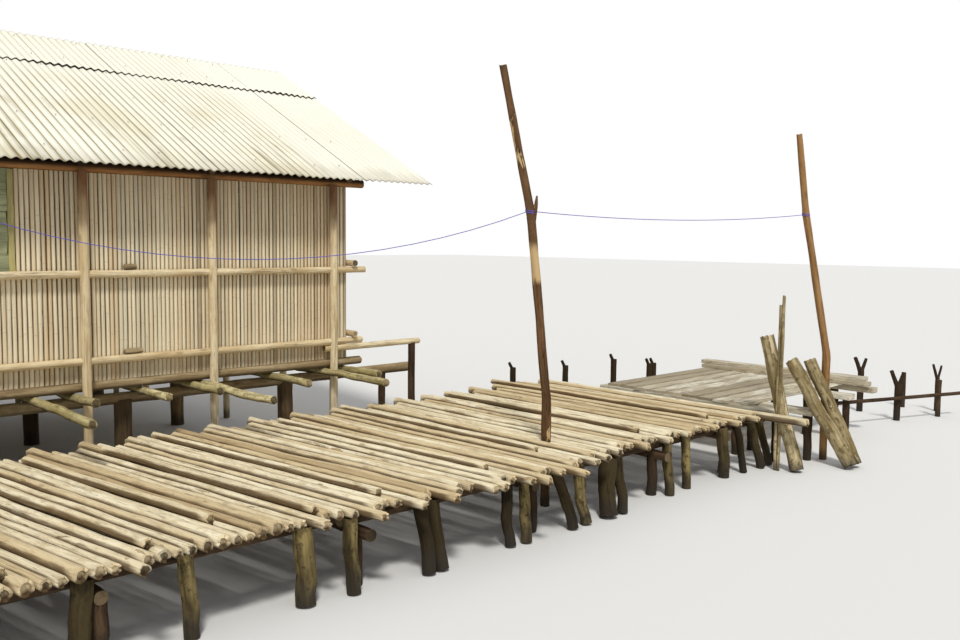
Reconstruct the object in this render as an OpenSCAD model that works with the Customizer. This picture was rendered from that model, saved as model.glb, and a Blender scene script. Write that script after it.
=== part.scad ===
// Stilt house with a cane-walled room, a corrugated roof, a pole deck and a plank landing.
// X runs along the house, Y from the deck to the back wall, Z up from the water.

/* [House plan] */

// Post spacing of the two middle bays
bay_inner = 1200; // [1050:10:1400]
// Post spacing of the next bays
bay_middle = 1110; // [950:10:1300]
// Post spacing of the outer bays
bay_outer = 1280; // [1100:10:1500]
// Wall left beyond the last post
corner_gap = 200; // [150:10:300]
// Distance between the cane planes of the front and back walls
house_depth = 5040; // [4400:20:5600]

/* [Levels above the water] */

// Centre of the floor bearers
bearer_level = 790; // [740:10:900]
// Centre of the lower wall rails
low_rail_level = 1165; // [1120:5:1300]
// Centre of the middle wall rails
mid_rail_level = 1865; // [1700:5:1950]
// Centre of the wall plates
plate_level = 2713; // [2500:1:2900]
// Centre of the cross logs under the deck
cap_level = 355; // [300:5:400]

/* [Round timber] */

// House stilt diameter
stilt_d = 150; // [120:5:180]
// Bearer diameter
bearer_d = 100; // [80:5:120]
// Joist diameter
joist_d = 70; // [55:5:90]
// Sill pole diameter
sill_d = 80; // [60:5:100]
// Wall plate diameter
plate_d = 80; // [70:5:100]
// Wall post diameter
post_d = 75; // [60:5:90]
// Wall rail diameter
rail_d = 64; // [35:1:80]
// Rafter diameter
rafter_d = 70; // [50:5:90]
// Purlin diameter
purlin_d = 50; // [40:5:70]
// Ridge pole diameter
ridge_d = 80; // [60:5:100]
// Clearance between pieces that lie on each other
seat = 0.3; // [0.2:0.1:0.5]

/* [Walls] */

// Diameter of the wall canes
cane_d = 39; // [30:1:50]
// Diameter of the floor poles
floor_pole_d = 50; // [40:1:60]
// Width of the window opening
window_w = 670; // [500:10:800]
// Width of the window jambs
jamb_w = 45; // [30:5:60]
// Thickness of the window boards
shutter_t = 22; // [15:1:30]
// Number of boards that close the window
shutter_boards = 5; // [3:1:7]
// Width of the doorway
door_w = 800; // [600:10:900]
// Diameter of the door jamb poles
door_jamb_d = 60; // [45:5:70]

/* [Roof] */

// Slope of the roof
roof_pitch = 27; // [20:1:35]
// Sheet overhang beyond the wall, measured along the slope
eave_out = 310; // [250:5:400]
// Sheet overhang beyond the end walls
verge_out = 840; // [500:10:1000]
// Spacing of the corrugations
wave_pitch = 76; // [60:1:130]
// Depth of the corrugations
wave_depth = 18; // [12:1:24]
// Upright thickness of a sheet
sheet_t = 3; // [2:0.5:5]
// Slope length of the upper row of sheets
upper_row = 900; // [700:10:1200]
// Overlap of the two rows of sheets
sheet_lap = 110; // [60:10:200]

/* [Deck] */

// Left end of the deck from the middle of the house
deck_left = 3800; // [3400:50:4200]
// Line of the back stringer in front of the house middle
back_stringer_y = 3100; // [3000:10:3300]
// Line of the middle stringer
mid_stringer_y = 4250; // [4000:10:4500]
// Line of the front stringer
front_stringer_y = 5480; // [5400:10:5500]
// Cross log diameter
cap_d = 80; // [60:5:100]
// Stringer diameter
stringer_d = 80; // [60:5:90]
// Diameter of the posts under the cross logs
deck_post_d = 90; // [70:5:120]
// Diameter of the thickest deck poles
deck_pole_d = 92; // [80:1:100]
// Thinning of the slimmest deck poles
deck_pole_thin = 28; // [10:1:40]
// Gap between deck poles
deck_gap = 4; // [2:1:10]
// Back end of the deck poles
deck_back_y = 2700; // [2680:10:2800]
// Front end of the longest deck poles
deck_front_y = 5960; // [5950:10:6300]

/* [Landing] */

// Length of the landing boards
landing_len = 2330; // [1800:10:2600]
// Width of one landing board
board_w = 178; // [150:1:220]
// Thickness of the landing boards
board_t = 28; // [20:1:40]
// Number of landing boards
board_count = 9; // [7:1:12]
// Outer edge of the landing
landing_front_y = 5280; // [5200:10:5400]
// Top of the landing boards above the water
landing_top = 550; // [520:5:600]
// Width of the landing beams
beam_w = 140; // [100:5:160]
// Thickness of the landing beams
beam_t = 60; // [40:5:80]

/* [Poles and logs] */

// Diameter of the tall line poles
tall_pole_d = 75; // [60:1:90]
// Height of the near line pole
near_pole_h = 3550; // [3000:10:3900]
// Height of the far line pole
far_pole_h = 3240; // [3000:10:3900]
// Diameter of the leaning logs
leaner_d = 130; // [100:5:150]
// Height of the mooring log's head
mooring_h = 1280; // [1100:10:1400]
// Distance of the mooring log's foot from the house centre
mooring_foot_y = 5953; // [5900:1:6000]
// Lean of the mooring log
mooring_lean = 16; // [8:1:25]
// Height of the raked logs' heads
rake_h = 1000; // [900:10:1100]
// Distance of the first raked log from the house centre
rake_x = 7030; // [7000:10:7060]
// Height of the slim poles beside the mooring log
bundle_h = 1680; // [1400:10:1800]
// Thickness of the slim poles
bundle_d = 30; // [20:1:40]
// Thickness of the far stakes
stake_d = 80; // [60:5:100]
// Height of the far stakes
stake_h = 620; // [500:10:700]
// Thickness of the far rail
far_rail_d = 45; // [30:5:60]
// Height of the far rail
far_rail_level = 290; // [250:10:330]
// Lean of the first raked log
rake_lean = 34; // [25:1:40]
// Diameter of the line
line_d = 6; // [4:1:8]
// Sag of the line in front of the house
line_sag = 420; // [200:10:600]
// Sag of the line between the tall poles
far_sag = 60; // [30:5:200]
// Height of the line's ties
tie_level = 2400; // [2200:10:2500]

/* [Hidden] */

$fn = 64;
WOOD = [0.62, 0.52, 0.38];
BARK = [0.34, 0.27, 0.20];
CANE = [0.74, 0.66, 0.51];
PALE = [0.82, 0.75, 0.62];
METAL = [0.86, 0.85, 0.80];
BOARD = [0.60, 0.57, 0.51];
GREEN = [0.50, 0.53, 0.42];
BLUE = [0.25, 0.30, 0.55];

post_xs = [0, bay_inner, bay_inner + bay_middle, bay_inner + bay_middle + bay_outer];
half_len = post_xs[3] + corner_gap;
end_x = half_len - cane_d / 2;
wall_y = house_depth / 2;
all_post_xs = [-post_xs[3], -post_xs[2], -post_xs[1], 0, post_xs[1], post_xs[2], post_xs[3]];

bearer_inset = 220;
bearer_y = wall_y - bearer_inset;
stilt_pitch = (2 * end_x - 1100) / 4;
joist_z = bearer_level + (bearer_d + joist_d) / 2 + seat;
sill_z = joist_z + (joist_d + sill_d) / 2 + seat;
wall_foot = sill_z + sill_d / 2 + seat;
wall_head = plate_level - plate_d / 2 - seat;
big_d = max(sill_d, plate_d);
post_y = wall_y + (big_d + post_d) / 2 + seat;
end_post_x = end_x + (big_d + post_d) / 2 + seat;
post_top = plate_level - 25;
rail_y = wall_y + (cane_d + rail_d) / 2 + seat;
end_rail_x = end_x + (cane_d + rail_d) / 2 + seat;
corner_post_y = bearer_y - (bearer_d + post_d) / 2 - seat;
end_post_ys = [-corner_post_y, -wall_y / 2, 0, wall_y / 2, corner_post_y];
joist_side = (post_d + joist_d) / 2 + seat;
plate_out = 200;
side_post_x = half_len + 810;
side_rail_level = low_rail_level - rail_d - seat;
side_stilt_x = half_len + 625;
rafter_tail = plate_d / 2 + 40;

// Roof layers, measured square to the slope from the plate centre
rafter_n = (plate_d + rafter_d) / 2 + seat;
purlin_n = rafter_n + (rafter_d + purlin_d) / 2 + seat;
sheet_n = purlin_n + purlin_d / 2 + seat;
nest = sheet_t + seat;
function ridge_u(n) = (wall_y + n * sin(roof_pitch)) / cos(roof_pitch);
sheet_end_u = ridge_u(sheet_n + nest) - 1;
lap_u = sheet_end_u - upper_row;
rafter_xs = [-end_x, -post_xs[2], -post_xs[1], 0, post_xs[1], post_xs[2], end_x];
rafter_axis_z = plate_level + wall_y * tan(roof_pitch) + rafter_n / cos(roof_pitch);
ridge_z = rafter_axis_z - ((ridge_d + rafter_d) / 2 + seat) / cos(roof_pitch);
roof_half = half_len + verge_out;
purlin_out = roof_half - 110;

// Openings in the front wall
window_x0 = post_d / 2;
window_x1 = window_x0 + window_w;
window_foot = mid_rail_level;
door_x = -bay_inner / 2;
door_x0 = door_x - door_w / 2;
door_x1 = door_x + door_w / 2;

// Deck
cap_side = (stilt_d + cap_d) / 2 + seat;
stringer_z = cap_level + (cap_d + stringer_d) / 2 + seat;
deck_seat_z = stringer_z + stringer_d / 2 + seat;
stringer_ys = [-front_stringer_y, -mid_stringer_y, -back_stringer_y];
near_pole_x = 3920;
near_pole_y = -5100;
slot_w = tall_pole_d + 2 * seat;
near_tie = [near_pole_x - 110, near_pole_y + 105, tie_level];
knuckle = 6;
near_thin = 6;
far_thin = 8;
beam_x = 6795;
landing_x0 = beam_x - 95;
board_gap = 22;
board_pitch = board_w + board_gap;
landing_back_y = landing_front_y - board_count * board_pitch + board_gap;
beam_top = landing_top - board_t - seat;
beam_foot = beam_top - beam_t;
stringer_end = beam_x - beam_w / 2 - seat;
stringer_break = 1700;
cap_xs = [for (i = [-2:2]) i * stilt_pitch + cap_side];
outer_cap_xs = [4860, 5990];
rake_support_y = 5844;
beam_xs = [beam_x, rake_x + 60, beam_x + landing_len - 825, beam_x + landing_len - 145];
beam_fronts = [landing_front_y + 380, rake_support_y, landing_front_y + 390, landing_front_y + 350];
landing_post_ys = [
  -(landing_front_y - 130), -(landing_front_y + landing_back_y) / 2, -(landing_back_y + 200)
];
// Foot, lean along X, lean along Y and thickness of each prop along the front stringer
props = [
  [-3350, 0.05, 0.10, 105], [-2450, -0.08, 0.15, 90], [-1900, 0.06, 0.05, 100], [-800, -0.05, 0.12, 95],
  [-30, 0.14, 0.10, 112], [600, -0.02, 0.10, 90], [1305, 0.04, 0.14, 125], [1625, 0, 0.10, 90],
  [2178, 0, 0.22, 95], [2294, -0.02, 0.22, 95], [2965, 0.07, 0.18, 80], [3115, 0.15, 0.20, 82],
  [3610, -0.20, 0.24, 85], [3775, 0, 0.22, 90], [4040, 0.18, 0.18, 140], [4215, 0.12, 0.24, 85],
  [4955, 0.02, 0.10, 80], [5265, -0.03, 0.02, 80], [5855, -0.09, 0.02, 105], [6150, -0.12, 0.14, 70],
  [6440, -0.25, 0.16, 85], [6590, -0.20, 0.16, 75]
];

// Leaning logs
stub_d = 70;
last_pole_x = 6410;
last_pole_d = 80;
bundle_x = last_pole_x + (last_pole_d + bundle_d) / 2 + seat;
mooring_x = bundle_x + (bundle_d + leaner_d) / 2 + seat;
rake_foot_y = -rake_support_y - (leaner_d / 2 + seat) / cos(rake_lean) - beam_top * tan(rake_lean);
second_rake_d = leaner_d - 10;
second_rake_x = rake_x + leaner_d - 5 + seat;
far_pole_x = second_rake_x + (second_rake_d + tall_pole_d) / 2 + seat;
far_pole_y = -5861;
far_tie = [far_pole_x - 190, far_pole_y + 185, tie_level + 50];
far_rail_turn = -19.5;
far_rail_n = -(deck_post_d + far_rail_d) / 2 - seat;

// Piece to draw, or all of them

// A repeatable value from 0 to 1 for the i-th natural piece
function vary(i, k = 1) = abs(sin(i * 137.5 + k * 61.3));

// Round timber along X
module pole_x(x0, x1, y, z, d) {
  translate([x0, y, z])
    rotate([0, 90, 0])
      cylinder(h = x1 - x0, d = d);
}

// Round timber along Y
module pole_y(y0, y1, x, z, d) {
  translate([x, y1, z])
    rotate([90, 0, 0])
      cylinder(h = y1 - y0, d = d);
}

// Round timber standing on the water line
module upright(x, y, z0, z1, d) {
  translate([x, y, z0])
    cylinder(h = z1 - z0, d = d);
}

// Round timber from one point to another
module rod(p, q, d0, d1) {
  v = q - p;
  len = norm(v);
  translate(p)
    rotate([0, acos(v[2] / len), atan2(v[1], v[0])])
      cylinder(h = len, d1 = d0, d2 = d1);
}

// Upright with a hollowed head that carries a log along X
module saddle_x(x, y, log_z, log_d, d) {
  difference() {
    upright(x, y, 0, log_z - log_d * 0.1, d);
    pole_x(x - d, x + d, y, log_z, log_d + 2 * seat);
  }
}

// Upright with a hollowed head that carries a log along Y
module saddle_y(x, y, log_z, log_d, d) {
  difference() {
    upright(x, y, 0, log_z - log_d * 0.1, d);
    pole_y(y - d, y + d, x, log_z, log_d + 2 * seat);
  }
}

// Everything inside carried over to the far side of the house as well
module both_sides() {
  children();
  mirror([0, 1, 0])
    children();
}

// Everything inside carried over to the other end of the house as well
module both_ends() {
  children();
  mirror([1, 0, 0])
    children();
}

// Upright canes side by side from x0 to x1 in the plane y = 0
module reeds(x0, x1, z0, z1, d = cane_d) {
  span = x1 - x0 - d;
  n = max(1, ceil(span / (d - 1)));
  translate([0, 0, z0])
    linear_extrude(z1 - z0)
      for (i = [0:n])
        translate([x0 + d / 2 + i * span / n, 0])
          circle(d = d);
}

// A panel of front wall canes
module front_reeds(x0, x1, z0 = wall_foot, z1 = wall_head) {
  translate([0, -wall_y, 0])
    reeds(x0 + seat / 2, x1 - seat / 2, z0, z1);
}

// Slope of the roof: local Y runs up the slope and local Z stands square to it
module on_slope() {
  translate([0, -wall_y, plate_level])
    rotate([roof_pitch, 0, 0])
      children();
}

module house_stilts() {
  color(BARK)
    for (i = [-2:2], y = [-bearer_y, 0, bearer_y])
      saddle_x(i * stilt_pitch, y, bearer_level, bearer_d, stilt_d);
  color(BARK)
    saddle_x(side_stilt_x, -bearer_y, bearer_level, bearer_d, post_d);
}

module bearers() {
  color(BARK)
    for (y = [-bearer_y, 0, bearer_y])
      pole_x(-end_x - 30, y < 0 ? side_post_x + 200 : end_x + 30, y, bearer_level, bearer_d);
}

// Joists of the right half: distance from the middle and reach beyond the front wall
joist_plan = [
  [(post_xs[0] + post_xs[1]) / 2 + 210, 1170], [post_xs[1] - joist_side, 430],
  [(post_xs[1] + post_xs[2]) / 2 - 55, 480], [post_xs[2] - joist_side - joist_d - 20, 490],
  [post_xs[2] - joist_side, 1190], [(post_xs[2] + post_xs[3]) / 2, 620],
  [post_xs[3] - joist_side, 1000], [end_x, 560]
];

module joists() {
  color(WOOD) {
    pole_y(-wall_y - 600, wall_y + 180, -joist_side, joist_z, joist_d);
    for (i = [0:len(joist_plan) - 1]) {
      x = joist_plan[i][0];
      pole_y(-wall_y - joist_plan[i][1], wall_y + 150 + 120 * vary(i, 2), x, joist_z, joist_d);
      pole_y(-wall_y - 420 - 500 * vary(i, 4), wall_y + 150 + 120 * vary(i, 3), -x, joist_z, joist_d);
    }
  }
}

// Floor of poles side by side, in four panels between the sills
module floor() {
  inner = wall_y - sill_d / 2 - seat;
  step = inner / 2;
  color(CANE)
    for (k = [-2:1])
      translate([-end_x + sill_d / 2 + seat, 0, joist_z + (joist_d + floor_pole_d) / 2 + seat])
        rotate([0, 90, 0])
          rotate([0, 0, 90])
            reeds(k * step + seat, (k + 1) * step - seat, 0, 2 * (end_x - sill_d / 2 - seat), floor_pole_d);
}

module long_sills() {
  color(WOOD) {
    both_sides()
      pole_x(-half_len - 150, half_len + 170, wall_y, sill_z, sill_d);
  }
}

module end_sills() {
  butt = wall_y - sill_d / 2 - seat;
  color(WOOD)
    both_ends()
      pole_y(-butt, butt, end_x, sill_z, sill_d);
}

// Front posts, with a short one beyond the corner that carries the side rail on its head
module front_posts() {
  color(WOOD) {
    for (x = all_post_xs)
      upright(x, -post_y, 0, post_top, post_d);
    saddle_x(side_post_x, -rail_y, side_rail_level, rail_d, post_d);
  }
}

module back_posts() {
  color(WOOD)
    for (x = all_post_xs)
      upright(x, post_y, 0, post_top, post_d);
}

// The middle post of each end wall carries the ridge pole
module end_posts() {
  color(WOOD)
    both_ends() {
      for (y = end_post_ys)
        if (y != 0)
          upright(end_post_x, y, 0, post_top, post_d);
      saddle_x(end_post_x, 0, ridge_z, ridge_d, post_d);
    }
}

module long_plates() {
  color(WOOD)
    both_sides()
      pole_x(-half_len - plate_out, half_len + plate_out, -wall_y, plate_level, plate_d);
}

// Beams between the long plates, over the end walls and across the room
module tie_beams() {
  butt = wall_y - plate_d / 2 - seat;
  color(WOOD)
    both_ends()
      for (x = [post_xs[1], post_xs[2], end_x])
        pole_y(-butt, butt, x, plate_level, plate_d);
}

module king_posts() {
  color(WOOD)
    both_ends()
      difference() {
        upright(post_xs[1], 0, plate_level + plate_d * 0.1, ridge_z - ridge_d * 0.1, rafter_d);
        pole_x(post_xs[1] - 100, post_xs[1] + 100, 0, ridge_z, ridge_d + 2 * seat);
        pole_y(-100, 100, post_xs[1], plate_level, plate_d + 2 * seat);
      }
}

module ridge_pole() {
  color(WOOD)
    pole_x(-purlin_out, purlin_out, 0, ridge_z, ridge_d);
}

// Rafters cut upright where the two slopes meet
module rafters() {
  difference() {
    on_slope()
      for (x = rafter_xs)
        pole_y(-rafter_tail, ridge_u(rafter_n) + 100, x, rafter_n, rafter_d);
    translate([-roof_half, -seat / 2, plate_level])
      cube([2 * roof_half, 600, 4000]);
  }
}

module front_rafters() {
  color(WOOD)
    rafters();
}

module back_rafters() {
  color(WOOD)
    mirror([0, 1, 0])
      rafters();
}

// Purlins: those under the upper row are thicker by one sheet
module purlins() {
  first = -rafter_tail + 50;
  step = (lap_u - 60 - first) / 3;
  thick = purlin_d + nest;
  on_slope() {
    for (u = [for (i = [0:3]) first + i * step])
      pole_x(-purlin_out, purlin_out, u, purlin_n, purlin_d);
    for (u = [lap_u + sheet_lap + 140, sheet_end_u - 130])
      pole_x(-purlin_out, purlin_out, u, purlin_n + nest / 2, thick);
  }
}

module front_purlins() {
  color(WOOD)
    purlins();
}

module back_purlins() {
  color(WOOD)
    mirror([0, 1, 0])
      purlins();
}

// Region under one line of the corrugated profile, as flat-ended arcs
module wave_region(lift) {
  q = wave_pitch / 4;
  h = wave_depth / 2;
  r = (q * q + h * h) / (2 * h);
  n = floor(roof_half / wave_pitch);
  translate([0, lift]) {
    difference() {
      translate([-(n + 0.25) * wave_pitch, -2 * h])
        square([(2 * n + 0.5) * wave_pitch, 2 * h]);
      for (i = [-n:n - 1])
        translate([(i + 0.5) * wave_pitch, 0])
          intersection() {
            translate([0, r - h])
              circle(r = r);
            translate([-q, -h - 1])
              square([2 * q, h + 1]);
          }
    }
    for (i = [-n:n])
      translate([i * wave_pitch, 0])
        intersection() {
          translate([0, h - r])
            circle(r = r);
          translate([-q, 0])
            square([2 * q, h + 1]);
        }
  }
}

// One row of corrugated sheets up the slope from u0 to u1
module sheet_row(u0, u1, n0) {
  on_slope()
    translate([0, u1, n0 + wave_depth / 2])
      rotate([90, 0, 0])
        linear_extrude(u1 - u0)
          difference() {
            wave_region(sheet_t);
            wave_region(0);
            translate([-2 * roof_half, -3 * wave_depth])
              square([4 * roof_half, 2 * wave_depth + sheet_t]);
          }
}

module lower_row() {
  sheet_row(-eave_out, lap_u + sheet_lap, sheet_n);
}

module upper_row_sheets() {
  sheet_row(lap_u, sheet_end_u, sheet_n + nest);
}

module front_lower_sheets() {
  color(METAL)
    lower_row();
}

module front_upper_sheets() {
  color(METAL)
    upper_row_sheets();
}

module back_lower_sheets() {
  color(METAL)
    mirror([0, 1, 0])
      lower_row();
}

module back_upper_sheets() {
  color(METAL)
    mirror([0, 1, 0])
      upper_row_sheets();
}

module front_wall_right() {
  color(CANE) {
    front_reeds(window_x1, post_xs[1]);
    front_reeds(post_xs[1], post_xs[2]);
    front_reeds(post_xs[2], half_len);
  }
}

module window_wall() {
  color(CANE)
    front_reeds(0, window_x1, wall_foot, window_foot - seat);
}

module front_wall_left() {
  color(CANE) {
    front_reeds(-half_len, -post_xs[2]);
    front_reeds(-post_xs[2], -post_xs[1]);
    front_reeds(-post_xs[1], door_x0 - door_jamb_d);
    front_reeds(door_x1 + door_jamb_d, 0);
  }
}

module back_wall() {
  color(CANE)
    mirror([0, 1, 0]) {
      front_reeds(-half_len, -post_xs[2]);
      front_reeds(-post_xs[2], 0);
      front_reeds(0, post_xs[2]);
      front_reeds(post_xs[2], half_len);
    }
}

// End walls, between the front and back canes
module end_walls() {
  edge = wall_y - cane_d / 2 - seat;
  color(CANE)
    both_ends()
      translate([end_x, 0, 0])
        rotate([0, 0, 90]) {
          reeds(-edge, -seat / 2, wall_foot, wall_head);
          reeds(seat / 2, edge, wall_foot, wall_head);
        }
}

// Canes from the end plate up to the rafters
module gables() {
  n = rafter_n - rafter_d / 2 - seat;
  foot = plate_level + plate_d / 2 + seat;
  apex = plate_level + wall_y * tan(roof_pitch) + n / cos(roof_pitch);
  run = (apex - foot) / tan(roof_pitch);
  top = (apex - ridge_z) / tan(roof_pitch);
  color(CANE)
    both_ends()
      difference() {
        intersection() {
          translate([end_x, 0, 0])
            rotate([0, 0, 90])
              reeds(-run, run, foot, apex);
          translate([end_x + cane_d, 0, 0])
            rotate([90, 0, -90])
              linear_extrude(2 * cane_d)
                polygon([[-run, foot], [run, foot], [top, ridge_z], [-top, ridge_z]]);
        }
        pole_x(end_x - 100, end_x + 100, 0, ridge_z, ridge_d + 2 * seat);
      }
}

// Rails along the front and back walls, notched round the posts, and a side rail under the lower one
module wall_rails() {
  jamb = door_jamb_d / 2;
  color(WOOD)
    difference() {
      union() {
        pole_x(-half_len - 60, door_x0 - jamb, -rail_y, low_rail_level, rail_d);
        pole_x(door_x1 + jamb, half_len + 150, -rail_y, low_rail_level, rail_d);
        pole_x(half_len - 300, side_post_x + 95, -rail_y, side_rail_level, rail_d);
        pole_x(-half_len - 60, door_x0 - jamb, -rail_y, mid_rail_level, rail_d);
        pole_x(door_x1 + jamb, half_len + 190, -rail_y, mid_rail_level, rail_d);
        for (z = [low_rail_level, mid_rail_level])
          pole_x(-half_len - 60, half_len + 60, rail_y, z, rail_d);
      }
      for (x = all_post_xs, y = [-post_y, post_y])
        upright(x, y, 0, post_top, post_d + 2 * seat);
    }
}

// End rails lie on the long rails where they cross
module end_rails() {
  reach = rail_y + rail_d;
  color(WOOD)
    both_ends()
      difference() {
        for (z = [low_rail_level, mid_rail_level])
          pole_y(-reach, reach, end_rail_x, z + rail_d + seat, rail_d);
        for (y = end_post_ys)
          upright(end_post_x, y, 0, post_top, post_d + 2 * seat);
      }
}

// Jambs and sill board of the window
module window_frame() {
  foot = window_foot + seat;
  color(GREEN)
    for (x = [window_x0, window_x1 - jamb_w])
      translate([x + seat, -wall_y - cane_d / 2, foot])
        cube([jamb_w - 2 * seat, cane_d, wall_head - foot]);
}

// Level boards that close the window
module window_boards() {
  clear = 2;
  x0 = window_x0 + jamb_w + seat;
  w = window_w - 2 * jamb_w - 2 * seat;
  h = (wall_head - window_foot - seat) / shutter_boards;
  color(GREEN)
    for (i = [0:shutter_boards - 1])
      translate([x0, -wall_y - shutter_t / 2, window_foot + seat + i * h])
        cube([w, shutter_t, h - (i < shutter_boards - 1 ? clear : 0)]);
}

module door_jambs() {
  color(WOOD)
    for (x = [door_x0 - door_jamb_d / 2, door_x1 + door_jamb_d / 2])
      upright(x, -wall_y, wall_foot, wall_head, door_jamb_d - 2 * seat);
}

// Logs across the deck, lashed beside the house stilts at the back
module deck_cross_logs() {
  color(BARK) {
    for (i = [0:len(cap_xs) - 1])
      pole_y(-front_stringer_y - (i == 3 ? 165 : 50), -bearer_y + 60, cap_xs[i], cap_level, cap_d);
    for (i = [0:len(outer_cap_xs) - 1])
      pole_y(-front_stringer_y - 160 + 100 * i, -back_stringer_y + 150 + 350 * i, outer_cap_xs[i],
             cap_level, cap_d);
  }
}

// Stringers in two lengths, lapped side by side
module deck_stringers() {
  color(WOOD)
    for (y = stringer_ys) {
      pole_x(-deck_left, stringer_break + 100, y + stringer_d + seat, stringer_z, stringer_d);
      pole_x(stringer_break - 100, stringer_end, y, stringer_z, stringer_d);
    }
}

module deck_posts() {
  color(BARK) {
    for (x = cap_xs, y = stringer_ys)
      saddle_y(x, y, cap_level, cap_d, deck_post_d);
    for (x = outer_cap_xs, y = stringer_ys)
      saddle_y(x, y, cap_level, cap_d, deck_post_d);
  }
}

// Leaning prop whose side rests on the front of the front stringer
module prop(x, lean_x, lean_y, d) {
  y0 = -front_stringer_y + (x < stringer_break - 100 ? stringer_d + seat : 0);
  foot_y = y0 - ((stringer_d + d) / 2 + seat) * sqrt(1 + lean_y * lean_y) - lean_y * stringer_z;
  rise = d / 2 * sin(atan(norm([lean_x, lean_y])));
  top = deck_seat_z - 6 - rise;
  rod([x + lean_x * rise, foot_y + lean_y * rise, rise],
      [x + lean_x * top, foot_y + lean_y * top, top], d, d);
}

// Props along the front, and stubs that rise behind the deck
module deck_front_posts() {
  color(BARK) {
    for (p = props)
      prop(p[0], p[1], p[2], p[3]);
    stub(outer_cap_xs[1] + (cap_d + stub_d) / 2 + seat, -back_stringer_y + 450, 760);
    stub(stringer_end - 165, -back_stringer_y + (stringer_d + stub_d) / 2 + seat, 780);
  }
}

// Stub of a post with a short fork
module stub(x, y, h) {
  union() {
    upright(x, y, 0, h - 60, stub_d);
    rod([x, y, h - 100], [x - 55, y + 10, h], stub_d * 0.6, stub_d * 0.5);
  }
}

// Thickness and place of the i-th pole of a group
function pole_width(i, g) = deck_pole_d - deck_pole_thin * vary(i, g);
function pole_run(i, g) =
  i == 0 ? 0 : pole_run(i - 1, g) + (pole_width(i - 1, g) + pole_width(i, g)) / 2 + deck_gap;

// How far the longest poles run out along the deck
front_edge = [
  [-3800, -60], [-400, -280], [0, -320], [250, -190], [500, -360], [800, -360], [1060, -310],
  [1500, -170], [1750, -150], [2500, -100], [3000, 0], [3450, 0], [3900, -200], [4500, -230]
];
// Front end of a pole at x, drawn back by a share k, but past the front stringer
function front_end(x, k) =
  min(-front_stringer_y - (stringer_d * 3 + deck_gap) / 2,
      -deck_front_y - lookup(x, front_edge) + (x > 4500 ? 200 : 240) * k);

// Centre of a round pole of radius r that lies in the valley between two others
function valley(a, ra, b, rb, r) =
  let (
    p = ra + r + seat,
    q = rb + r + seat,
    gap = norm(b - a),
    along = (p * p - q * q + gap * gap) / (2 * gap),
    up = sqrt(p * p - along * along),
    v = (b - a) / gap
  )
  a + v * along + [-v[1], v[0]] * up;

// Poles side by side from x0 to x1 along the front and from b0 to b1 along the back,
// with a few poles on top
module pole_fan(x0, x1, b0, b1, g, tops = []) {
  count = floor(min(x1 - x0, b1 - b0) / (deck_pole_d - deck_pole_thin / 2 + deck_gap)) - 1;
  ds = [for (i = [0:count]) pole_width(i, g)];
  run = pole_run(count, g) + (ds[0] + ds[count]) / 2;
  spread = (x1 - x0 - run) / count;
  back_spread = (b1 - b0 - run) / count;
  xs = [for (i = [0:count]) x0 + ds[0] / 2 + pole_run(i, g) + i * spread];
  slopes = [
    for (i = [0:count])
      (b0 - x0 + i * (back_spread - spread)) / (deck_front_y - deck_back_y)
  ];
  for (i = [0:count]) {
    y0 = front_end(xs[i], vary(i, g + 5));
    y1 = -deck_back_y - 260 * vary(i, g + 9);
    z = deck_seat_z + ds[i] / 2;
    rod([xs[i] + slopes[i] * (y0 + deck_front_y), y0, z],
        [xs[i] + slopes[i] * (y1 + deck_front_y), y1, z], ds[i], ds[i]);
  }
  for (t = tops) {
    i = t[0];
    lean = cos(atan(slopes[i]));
    ends = [
      for (y = [-t[2], -t[3]])
        let (
          a = xs[i] + slopes[i] * (y + deck_front_y),
          b = xs[i + 1] + slopes[i + 1] * (y + deck_front_y),
          c = valley([0, ds[i] / 2], ds[i] / 2,
                     [(b - a) * lean, ds[i + 1] / 2], ds[i + 1] / 2, t[1] / 2)
        )
        [a + c[0] / lean, y, deck_seat_z + c[1]]
    ];
    rod(ends[0], ends[1], t[1], t[1]);
  }
}

module deck_poles() {
  color(PALE) {
    pole_fan(-deck_left + 30, -1926, -deck_left + 30, -2406, 1);
    pole_fan(-1914, -6, -2394, -506, 2,
             [[3, 64, 5610, 3150], [9, 70, 5700, 2900], [15, 62, 5560, 3350], [19, 68, 5480, 3000]]);
    pole_fan(6, 2284, -494, 1924, 3,
             [[4, 68, 5520, 2960], [10, 62, 5300, 3100], [16, 66, 5570, 3200], [22, 62, 5500, 2900]]);
    pole_fan(2296, near_pole_x - slot_w / 2, 1936, near_pole_x - slot_w / 2, 4,
             [[6, 64, 5500, 3050], [14, 60, 5350, 2850]]);
    pole_fan(near_pole_x + slot_w / 2, last_pole_x - last_pole_d / 2 - deck_gap,
             near_pole_x + slot_w / 2, last_pole_x - last_pole_d / 2 - deck_gap, 5,
             [[9, 60, 5400, 2900], [20, 64, 5480, 2650]]);
    pole_y(near_pole_y + slot_w / 2, -deck_back_y - 90, near_pole_x, deck_seat_z + 36, 72);
    pole_y(-deck_front_y + 200, near_pole_y - slot_w / 2, near_pole_x, deck_seat_z + 35, 70);
    pole_y(-deck_front_y - 150, -deck_back_y - 60, last_pole_x, deck_seat_z + last_pole_d / 2, last_pole_d);
  }
}

// Tall pole through a list of points, with a knuckle over each bend
module bent_pole(points, ds) {
  last = len(points) - 2;
  union() {
    for (i = [0:last]) {
      step = (points[i + 1] - points[i]) / norm(points[i + 1] - points[i]) * 2;
      rod(points[i] + (i > 0 ? step : [0, 0, 0]), points[i + 1] - (i < last ? step : [0, 0, 0]),
          ds[i], ds[i + 1]);
    }
    for (i = [1:last])
      translate(points[i])
        sphere(d = ds[i] + knuckle);
  }
}

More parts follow.
